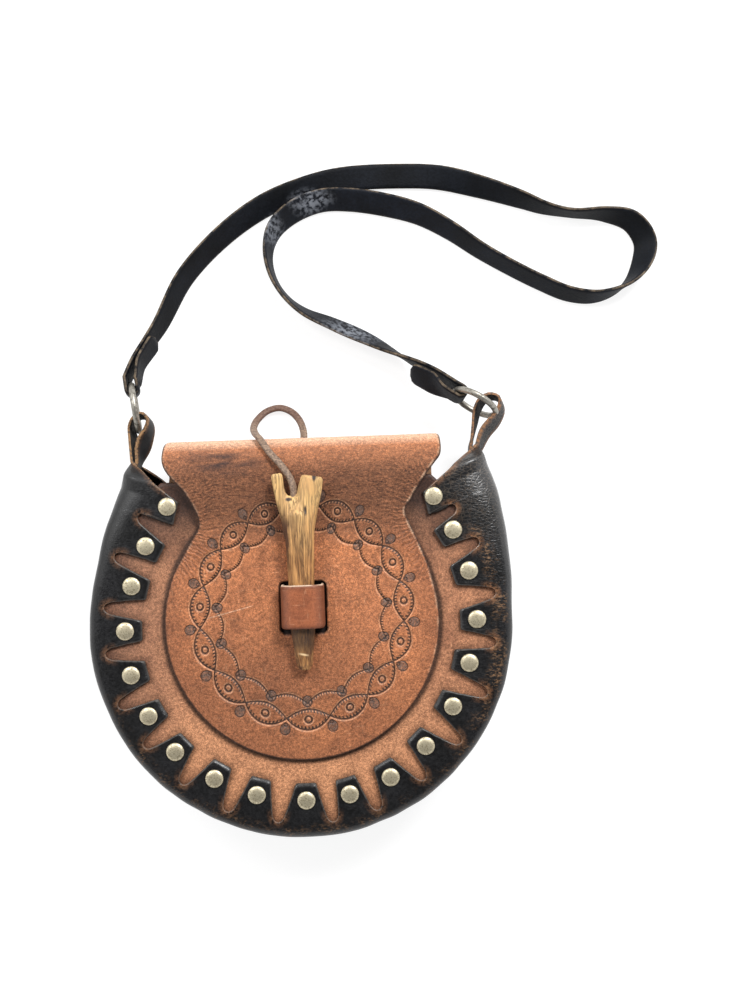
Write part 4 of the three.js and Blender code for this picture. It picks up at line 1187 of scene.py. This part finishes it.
def tab_sections(end, rows):
    """Sections along the tab's loop, each running from its upper edge down to its lower edge."""
    top, low = (evenly(smooth_way(end[line], TAB_STEPS), TAB_COLUMNS) for line in ("tab_top", "tab_low"))
    drop = np.linspace(0, 1, rows)
    flat = lerp(top[:, None, :], low[:, None, :], drop[None, :, None])
    heights = np.broadcast_to(GUSSET_MID_Z + TAB_HALF * (1 - 2 * drop), flat.shape[:2])
    return list(np.concatenate([flat, heights[:, :, None]], axis=2))


def taper_section(tooth, pinch, along):
    """Between the last tooth and the pinch the section narrows. It clears the panel before it drops."""
    section = lerp(tooth, pinch, along)
    section[:, 2] = lerp(tooth[:, 2], pinch[:, 2], ramp(along, TAPER_CLEAR, 1))
    return section


def stray(tooth, amount, pace):
    return amount * math.sin(pace * tooth)


def toothed_edge():
    """The gusset's cut edge round all its teeth, with rounded corners: evenly spaced swings and reaches."""
    root = math.degrees(ROOT_WIDTH / 2 / ROOT_RADIUS)
    last = len(TEETH) - 1
    corners = []
    for tooth, (swing, reach) in enumerate(TEETH):
        if tooth > 0:
            notch = (TEETH[tooth - 1][0] + swing) / 2 + stray(tooth, *NOTCH_STRAY)
            depth = ROOT_RADIUS + stray(tooth, *DEPTH_STRAY)
            corners += [(notch + root * share, depth - short) for share, short in NOTCH]
        tip = math.degrees(TIP_WIDTH / 2 / (reach - TIP_AHEAD))
        corners.append((swing - tip, reach - (END_TIP_AHEAD if tooth == 0 else TIP_AHEAD)))
        corners.append((swing + tip, reach - (END_TIP_AHEAD if tooth == last else TIP_AHEAD)))
    unit = np.array([math.radians(1) * ROOT_RADIUS, 1])
    outline = evenly(np.array(corners) * unit, EDGE_FINENESS * EDGE_COLUMNS)
    rounded = np.stack([softened(outline[:, axis], CUT_SOFTNESS) for axis in (0, 1)], axis=1)
    return evenly(rounded, EDGE_COLUMNS) / unit


def gusset_columns():
    """Sections of the whole strip, and how far each belongs to a tab, 0 to 1."""
    columns = [gusset_section(swing, reach) for swing, reach in toothed_edge()]
    rows = len(columns[0])
    steps = np.linspace(1, 0, TAPER_COLUMNS + 2)[1:-1]
    ends = []
    for end, tooth in ((LEFT_END, columns[0]), (RIGHT_END, columns[-1])):
        tab = tab_sections(end, rows)
        ends.append(tab + [taper_section(tooth, tab[-1], along) for along in steps])
    share = np.concatenate([np.ones(TAB_COLUMNS + 1), np.linspace(1, 0, TAPER_COLUMNS)])
    shares = np.concatenate([share, np.zeros(len(columns)), share[::-1]])
    return np.array(ends[0] + columns + ends[1][::-1]), shares


def make_gusset():
    grid, tab = gusset_columns()
    for swing, reach in TEETH:
        for level, way in ((GUSSET_TOP_Z, -1), (GUSSET_LOW_Z, 1)):
            away = np.linalg.norm(grid - polar(reach, swing, level), axis=2)
            pressed = 1 - ramp(away, RIVET_CAP_RADIUS, RIVET_CAP_RADIUS + DIMPLE_REACH)
            grid[..., 2] += way * DIMPLE_DEPTH * pressed
    radius = np.hypot(grid[..., 0], grid[..., 1])
    loose = ramp(radius, BULGE_START_RADIUS, WALL_RADIUS) * (1 - tab[:, None])
    hills = sum(height * rumple(grid, size, seed) for height, size, seed in BULGES)
    grid[..., :2] *= (1 + loose * (hills - BULGE_DRAW_IN) / radius)[..., None]
    edge = edge_distance(grid, cut_edges(grid))
    facts = {"edge": edge[::-1], "tab": np.broadcast_to(tab[::-1, None], edge.shape)}
    add_leather(
        "gusset_strip", leather_sheet(grid[::-1], facts), (GUSSET_BLACK, BLACK_FLESH),
        ["gusset_left", "gusset_right"], GUSSET_LEATHER, GUSSET_ROUNDING,
    )


# Panels

def front_level(x, y):
    """Height of the front panel, which is crowned."""
    inside = np.clip(1 - (x * x + y * y) / FRONT_CROWN_RADIUS ** 2, 0, 1)
    return FRONT_RIM_Z + FRONT_CROWN * inside ** 2


def back_level(x, y):
    """Height of the back panel, which is dished."""
    return lerp(BACK_Z, BACK_RIM_Z, ramp(np.hypot(x, y), BACK_FLAT_RADIUS, BACK_RIM_RADIUS))


def flap_level(x, y):
    """Height of the flap, which lies on the front panel and rises to the fold."""
    rise = ramp(y, FLAP_RISE_Y, FOLD_Y)
    return lerp(front_level(x, y) + PANEL_LEATHER + GAP, FOLD_TOP_Z, rise)


def disc_angle(y, radius):
    """The angle at which a disc's edge reaches a height above its middle."""
    return math.degrees(math.asin(y / radius))


def disc_row(angle, radius, centre, across):
    """A row of points across a disc, from edge to edge at an angle, bent round towards its bottom."""
    x = radius * math.cos(math.radians(angle)) * across
    level = np.full_like(x, radius * math.sin(math.radians(angle)))
    round_bottom = -np.sqrt(radius ** 2 - x ** 2)
    y = lerp(level, round_bottom, ramp(-angle, -BEND_ANGLE, -CORNER_ANGLE))
    return x + centre[0], y + centre[1]


SMOOTH_SIDES = smooth_way(FLAP_SIDES, FLAP_SIDE_STEPS)[::-1]


def flap_sides(y):
    """The flap's left and right edges at a height, down to the side of its disc."""
    return [np.interp(y, SMOOTH_SIDES[:, 0], SMOOTH_SIDES[:, side]) for side in (1, 2)]


def fold_row(turn, share):
    """A row of points across the fold, at a turn from the back of the bag to its front."""
    angle = math.radians(turn)
    y = FOLD_Y + FOLD_RADIUS * math.sin(angle)
    left, right = flap_sides(y)
    front = min(turn / 90, 1)
    soft = FOLD_CORNER * math.exp(-((turn - 90) / FOLD_CORNER_SPREAD) ** 2)
    start = lerp(-BACK_NECK_HALF, left, front) + soft
    end = lerp(BACK_NECK_HALF, right, front) - soft
    x = lerp(start, end, share)
    return x, np.full_like(x, y), np.full_like(x, BACK_RIM_Z + FOLD_RADIUS * (1 - math.cos(angle)))


def back_and_flap_rows(across):
    """Rows of points up the back panel, over the fold and down the flap."""
    share = (1 + across) / 2
    rows = []
    for angle in np.linspace(CORNER_ANGLE, disc_angle(BACK_TOP_Y, PANEL_RADIUS), BACK_ROWS):
        x, y = disc_row(angle, PANEL_RADIUS, (0, 0), across)
        rows.append((x, y, back_level(x, y)))
    for turn in np.linspace(0, 180, FOLD_ROWS):
        rows.append(fold_row(turn, share))
    disc_y = FLAP_SIDES[-1][0]
    for y in np.linspace(FOLD_Y, disc_y, NECK_ROWS + 1)[1:]:
        x = lerp(*flap_sides(y), share)
        rows.append((x, np.full_like(x, y), flap_level(x, y)))
    side_angle = disc_angle(disc_y - FLAP_CENTRE[1], FLAP_RADIUS)
    for angle in np.linspace(side_angle, CORNER_ANGLE, FLAP_ROWS + 1)[1:]:
        x, y = disc_row(angle, FLAP_RADIUS, FLAP_CENTRE, across)
        rows.append((x, y, flap_level(x, y)))
    return rows


def keeper_hole(x, y):
    """Distance from a point to the edge of the hole with round corners, below zero inside it."""
    corner = KEEPER_HOLE["corner"]
    wide = abs(x - KEEPER_HOLE["x"]) - KEEPER_HOLE["width"] / 2 + corner
    high = abs(y - KEEPER_HOLE["y"]) - KEEPER_HOLE["length"] / 2 + corner
    return math.hypot(max(wide, 0), max(high, 0)) + min(max(wide, high), 0) - corner


def keeper_hole_rim():
    """Points round the edge of the hole."""
    corner = KEEPER_HOLE["corner"]
    turns = np.linspace(0, 2 * math.pi, HOLE_POINTS)
    wide = np.cos(turns)
    high = np.sin(turns)
    x = KEEPER_HOLE["x"] + np.sign(wide) * (KEEPER_HOLE["width"] / 2 - corner) + wide * corner
    y = KEEPER_HOLE["y"] + np.sign(high) * (KEEPER_HOLE["length"] / 2 - corner) + high * corner
    level = flap_level(KEEPER_HOLE["x"], KEEPER_HOLE["y"])
    return np.stack([x, y, np.full_like(x, level)], axis=1)


def make_back_and_flap():
    across = np.linspace(1, -1, FLAP_COLUMNS)
    grid = np.stack([np.stack(row, axis=1) for row in back_and_flap_rows(across)], axis=1)
    x, y, z = grid[..., 0], grid[..., 1], grid[..., 2]
    edge = edge_distance(grid, [*cut_edges(grid), keeper_hole_rim()])
    front = ramp(z, *FLAP_FRONT_Z)
    line, pear, groove = tooled_border(x.view(Field), y.view(Field))
    stamped = np.minimum(np.asarray(groove + pear), 1)
    swell = FLAP_SWELL * rumple(grid, FLAP_SWELL_SIZE, FLAP_SWELL_SEED)
    at_neck = ramp(y, *NECK_LOW_Y) * (1 - ramp(y, *NECK_HIGH_Y))
    wrinkle = NECK_WRINKLE * rumple(grid / np.array(NECK_WRINKLE_SIZE), 1, NECK_WRINKLE_SEED)
    z += front * (FLAP_LIFT + swell + wrinkle * at_neck - STAMP_DEPTH * stamped)
    mesh = leather_sheet(grid, {"edge": edge})
    cut_hole(mesh, keeper_hole, FRONT_RIM_Z)
    add_leather(
        "back_and_flap", mesh, (FLAP_LEATHER, TAN_FLESH), ["back_flap"], PANEL_LEATHER,
        PANEL_ROUNDING,
    )


def make_front_panel():
    across = np.linspace(1, -1, PANEL_COLUMNS)
    angles = np.linspace(disc_angle(MOUTH_Y, PANEL_RADIUS), CORNER_ANGLE, PANEL_ROWS)
    rows = [disc_row(angle, PANEL_RADIUS, (0, 0), across) for angle in angles]
    x, y = (np.stack(line, axis=1) for line in zip(*rows))
    grid = np.stack([x, y, front_level(x, y)], axis=2)
    teeth = np.array([polar(reach, swing, FRONT_RIM_Z) for swing, reach in toothed_edge()])
    facts = {"edge": edge_distance(grid, cut_edges(grid)), "tooth": edge_distance(grid, [teeth])}
    add_leather(
        "front_panel_leather", leather_sheet(grid, facts), (FRONT_LEATHER, TAN_FLESH),
        ["front_panel"], PANEL_LEATHER, PANEL_ROUNDING,
    )


# Rivets and rings

def make_rivets():
    seat = GUSSET_LEATHER / 2 + GAP / 2
    for number, (swing, reach) in enumerate(TEETH, 1):
        for side, level, way in (("front", GUSSET_TOP_Z + seat, 1), ("back", GUSSET_LOW_Z - seat, -1)):
            profile = [(radius, 0, height * way) for radius, height in RIVET_PROFILE]
            mesh = turned(profile, (0, 0, 1), RIVET_SIDES)
            bmesh.ops.translate(mesh, vec=polar(reach, swing, level), verts=mesh.verts[:])
            name = f"{side}_{number:02d}"
            add_piece(f"cap_{name}", mesh, (RIVET_NICKEL,), [f"rivet_{name}"])


def ring_axes(ring):
    """The ring's own axes: ahead points at the strap, and up lies in the ring's plane."""
    heading = math.radians(ring["heading"])
    tilt = math.radians(ring["tilt"])
    ahead = np.array([math.cos(heading), math.sin(heading), 0])
    sideways = np.array([ahead[1], -ahead[0], 0])
    up = np.array([0, 0, math.sin(tilt)]) + sideways * math.cos(tilt)
    return ahead, up


def make_rings():
    for side, ring in (("left", LEFT_RING), ("right", RIGHT_RING)):
        ahead, up = ring_axes(ring)
        mesh = bmesh.new()
        turn = Matrix.Translation((RING_RADIUS, 0, 0)) @ Matrix.Rotation(math.pi / 2, 4, "X")
        bmesh.ops.create_circle(mesh, segments=RING_WIRE_SIDES, radius=RING_WIRE / 2, matrix=turn)
        spun(mesh, (0, 0, 1), RING_SIDES)
        basis = Matrix((ahead, up, np.cross(ahead, up))).transposed().to_4x4()
        place = Matrix.Translation((ring["x"], ring["y"], GUSSET_MID_Z)) @ basis
        bmesh.ops.transform(mesh, matrix=place, verts=mesh.verts[:])
        add_piece(f"ring_{side}_wire", mesh, (RING_NICKEL,), [f"ring_{side}"])


# Strap

def strap_rest(lean):
    """Height of the strap's middle when it lies on the surface at a lean."""
    upright = abs(math.sin(math.radians(lean)))
    flat = abs(math.cos(math.radians(lean)))
    return (STRAP_WIDTH * upright + STRAP_LEATHER * flat) / 2 + GAP


def strap_fold(ring, outward):
    """Points and widths where the strap's end turns round the ring's wire and passes it on both sides."""
    ahead, up = ring_axes(ring)
    face = np.cross(up, ahead) * outward
    inner = RING_RADIUS - RING_WIRE / 2
    sag = inner - math.sqrt(inner ** 2 - (STRAP_WIDTH / 2) ** 2)
    centre = np.array([ring["x"], ring["y"], GUSSET_MID_Z]) + ahead * (RING_RADIUS - sag)
    passed = ahead * (sag + RING_WIRE / 2 + GAP)
    spots = [centre + face * STRAP_TURN + passed * share for share in reversed(STRAP_PASS)]
    for turn in np.linspace(0, math.pi, STRAP_TURN_POINTS):
        spots.append(centre + face * STRAP_TURN * math.cos(turn) - ahead * STRAP_TURN * math.sin(turn))
    spots += [centre - face * STRAP_TURN + passed * share for share in STRAP_PASS]
    return [(spot, up) for spot in spots]


def strap_run(start, finish):
    """Points, widths and faces of the strap's main run between the two folds."""
    rows = [(x, y, strap_rest(lean) + lift, lean) for x, y, lean, lift in STRAP_WAY]
    rows = [(*start, LEFT_RING["tilt"]), *rows, (*finish, RIGHT_RING["tilt"])]
    way = smooth_way([row[:3] for row in rows], STRAP_STEPS)
    leans = np.interp(np.arange(len(way)) / STRAP_STEPS, np.arange(len(rows)), [row[3] for row in rows])
    run = []
    for spot, travel, lean in zip(way, headings(way), np.radians(softened(leans, LEAN_SOFTNESS))):
        level = np.array([-travel[1], travel[0], 0])
        level = level / np.linalg.norm(level)
        across = level * math.cos(lean) + np.cross(travel, level) * math.sin(lean)
        run.append((spot, across, np.cross(across, travel)))
    return run


def folded_end(run, end):
    """The folded-back end closes in on the run, and its lower edge splays away by an angle."""
    lengths = travelled(np.array([spot for spot, across, face in run]))
    sections = []
    for (spot, across, face), length in zip(run, lengths):
        if STRAP_END_START < length < end["length"]:
            closed = ramp(length, 0, end["length"] / 2)
            lean = math.radians(end["splay"]) * closed
            apart = lerp(2 * STRAP_TURN, STRAP_LEATHER + GAP, closed)
            apart += STRAP_WIDTH / 2 * math.sin(lean)
            sections.append((spot - face * apart, across * math.cos(lean) + face * math.sin(lean)))
    return sections


def make_strap():
    left = strap_fold(LEFT_RING, 1)[::-1]
    right = strap_fold(RIGHT_RING, -1)
    run = strap_run(left[-1][0], right[0][0])
    middle = [(spot, across) for spot, across, face in run[1:-1]]
    left_end = folded_end(run, STRAP_ENDS["left"])[::-1]
    right_end = folded_end(run[::-1], STRAP_ENDS["right"])
    sections = left_end + left + middle + right + right_end
    length = travelled(np.array([spot for spot, across in sections]))
    ends = np.minimum(length, length[-1] - length)
    corner = STRAP_END_CORNER - np.sqrt(np.maximum(ends * (2 * STRAP_END_CORNER - ends), 0))
    halves = STRAP_WIDTH / 2 - np.where(ends < STRAP_END_CORNER, corner, 0)
    shares = np.linspace(-1, 1, STRAP_COLUMNS)
    grid = np.array([
        [spot + across * share * half for share in shares] for (spot, across), half in zip(sections, halves)
    ])
    edge = np.minimum((1 - np.abs(shares)) * halves[:, None], ends[:, None])
    add_leather(
        "shoulder_strap", leather_sheet(grid, {"edge": edge}), (STRAP_BLACK, STRAP_FLESH),
        ["strap"], STRAP_LEATHER, STRAP_ROUNDING,
    )


# Keeper and toggle

def make_keeper():
    leg = (KEEPER_SPAN - KEEPER_LEATHER) / 2
    far_y = KEEPER_Y + KEEPER_LENGTH / 2
    grip_z = TOGGLE_Z + far_y * math.tan(math.radians(TOGGLE_TILT))
    top_z = grip_z + TOGGLE_GRIP_RADIUS * TOGGLE_FLATNESS + GAP + KEEPER_LEATHER / 2
    foot_x = leg + KEEPER_BEND + KEEPER_FOOT
    foot_z = front_level(KEEPER_X + foot_x, far_y) - PANEL_LEATHER / 2 - GAP - KEEPER_LEATHER / 2
    half = [(0, top_z)]
    for turn in np.linspace(0, math.pi / 2, KEEPER_CORNER_POINTS):
        inset = KEEPER_CORNER * (1 - math.sin(turn))
        drop = KEEPER_CORNER * (1 - math.cos(turn))
        half.append((leg - inset, top_z - drop))
    half += [(leg, foot_z + KEEPER_BEND), (leg + KEEPER_BEND / 3, foot_z + KEEPER_BEND / 3)]
    half += [(leg + KEEPER_BEND, foot_z), (foot_x, foot_z)]
    outline = np.array([(-x, z) for x, z in half[:0:-1]] + half)
    shares = np.linspace(1, -1, KEEPER_ROWS)
    grid = np.array([
        [(KEEPER_X + x, KEEPER_Y + share * KEEPER_LENGTH / 2, z) for share in shares]
        for x, z in evenly(outline, KEEPER_COLUMNS)
    ])
    edge = np.broadcast_to((1 - np.abs(shares)) * KEEPER_LENGTH / 2, grid.shape[:2])
    mesh = leather_sheet(grid[::-1], {"edge": edge})
    add_leather(
        "keeper_loop", mesh, (KEEPER_BROWN,), ["keeper"], KEEPER_LEATHER, KEEPER_ROUNDING,
    )


def twig_limbs():
    """The twig's shaft, its two prongs and the web between them, as overlapping limbs."""
    ends = [(TOGGLE_SHAFT[0][0], ON_AXIS), *TOGGLE_SHAFT, (TOGGLE_SHAFT[-1][0], ON_AXIS)]
    shaft = turned([(radius, y, 0) for y, radius in ends], (0, 1, 0), SHAFT_SIDES)
    bmesh.ops.translate(shaft, vec=(TOGGLE_X, 0, 0), verts=shaft.verts[:])
    limbs = [shaft]
    for prong in TOGGLE_PRONGS:
        way = evenly(np.array(prong, dtype=float), PRONG_POINTS)
        spots = np.column_stack([way[:, :2], np.zeros(len(way))])
        limbs.append(tube(spots, PRONG_SIDES, round_section(way[:, 2])))
    return limbs


def grown_together(limbs):
    """Melts overlapping limbs into one skin and smooths it."""
    data = bpy.data.meshes.new("limbs")
    whole = bmesh.new()
    for limb in limbs:
        limb.to_mesh(data)
        limb.free()
        whole.from_mesh(data)
    whole.to_mesh(data)
    whole.free()
    body = bpy.data.objects.new("limbs", data)
    bpy.context.collection.objects.link(body)
    melt = body.modifiers.new("melt", "REMESH")
    melt.mode = "VOXEL"
    melt.voxel_size = TWIG_VOXEL
    soften = body.modifiers.new("soften", "SMOOTH")
    soften.iterations = TWIG_SMOOTHING
    skin = bpy.data.meshes.new_from_object(body.evaluated_get(bpy.context.evaluated_depsgraph_get()))
    mesh = bmesh.new()
    mesh.from_mesh(skin)
    bpy.data.objects.remove(body)
    bpy.data.meshes.remove(data)
    bpy.data.meshes.remove(skin)
    return mesh


def twig_relief(spot):
    """How far the twig's skin stands out at a spot."""
    height = -TWIG_SHRINK
    for rise, size_x, size_y, size_z, shift in TWIG_RELIEF:
        height += rise * noise.noise(Vector((spot.x / size_x, spot.y / size_y, spot.z / size_z + shift)))
    return height


def make_toggle():
    mesh = grown_together(twig_limbs())
    mesh.normal_update()
    for vert in mesh.verts:
        vert.co += vert.normal * twig_relief(vert.co)
    bmesh.ops.scale(mesh, vec=(1, 1, TOGGLE_FLATNESS), verts=mesh.verts[:])
    place = Matrix.Translation((0, 0, TOGGLE_Z)) @ Matrix.Rotation(math.radians(TOGGLE_TILT), 4, "X")
    bmesh.ops.transform(mesh, matrix=place, verts=mesh.verts[:])
    add_piece("forked_toggle", mesh, (TWIG_WOOD,), ["toggle"])


make_lace()
make_back_and_flap()
make_front_panel()
make_gusset()
make_rivets()
make_rings()
make_strap()
make_keeper()
make_toggle()


# Floor and light

def make_floor():
    """A pale round floor that turns up into a wall all round, both softly lit."""
    finish = Finish("pale_floor")
    finish.set(
        Base_Color=(FLOOR_GREY, FLOOR_GREY, FLOOR_GREY, 1), Roughness=0.9, Emission_Color=(1, 1, 1, 1),
        Emission_Strength=FLOOR_GLOW,
    )
    profile = [(ON_AXIS, 0)]
    for turn in np.linspace(0, math.pi / 2, FLOOR_BEND_POINTS):
        profile.append((FLOOR_RADIUS + FLOOR_BEND * math.sin(turn), FLOOR_BEND * (1 - math.cos(turn))))
    profile.append((FLOOR_RADIUS + FLOOR_BEND, FLOOR_WALL))
    mesh = turned([(radius, 0, height - GAP) for radius, height in profile], (0, 0, 1), FLOOR_SIDES)
    floor = new_object("floor", mesh, (finish.material,))


def add_light(name, place, size, power):
    lamp = bpy.data.lights.new(name, "AREA")
    lamp.size = size
    lamp.energy = power
    light = bpy.data.objects.new(name, lamp)
    light.location = place
    light.rotation_euler = Vector(place).to_track_quat("Z", "Y").to_euler()
    bpy.context.collection.objects.link(light)


make_floor()
for light_row in LIGHTS:
    add_light(*light_row)
world = bpy.data.worlds.new("studio")
world.use_nodes = True
sky = world.node_tree.nodes["Background"].inputs
sky["Color"].default_value = (1, 1, 1, 1)
sky["Strength"].default_value = WORLD_GLOW
bpy.context.scene.world = world
bpy.context.scene.view_settings.view_transform = "Standard"
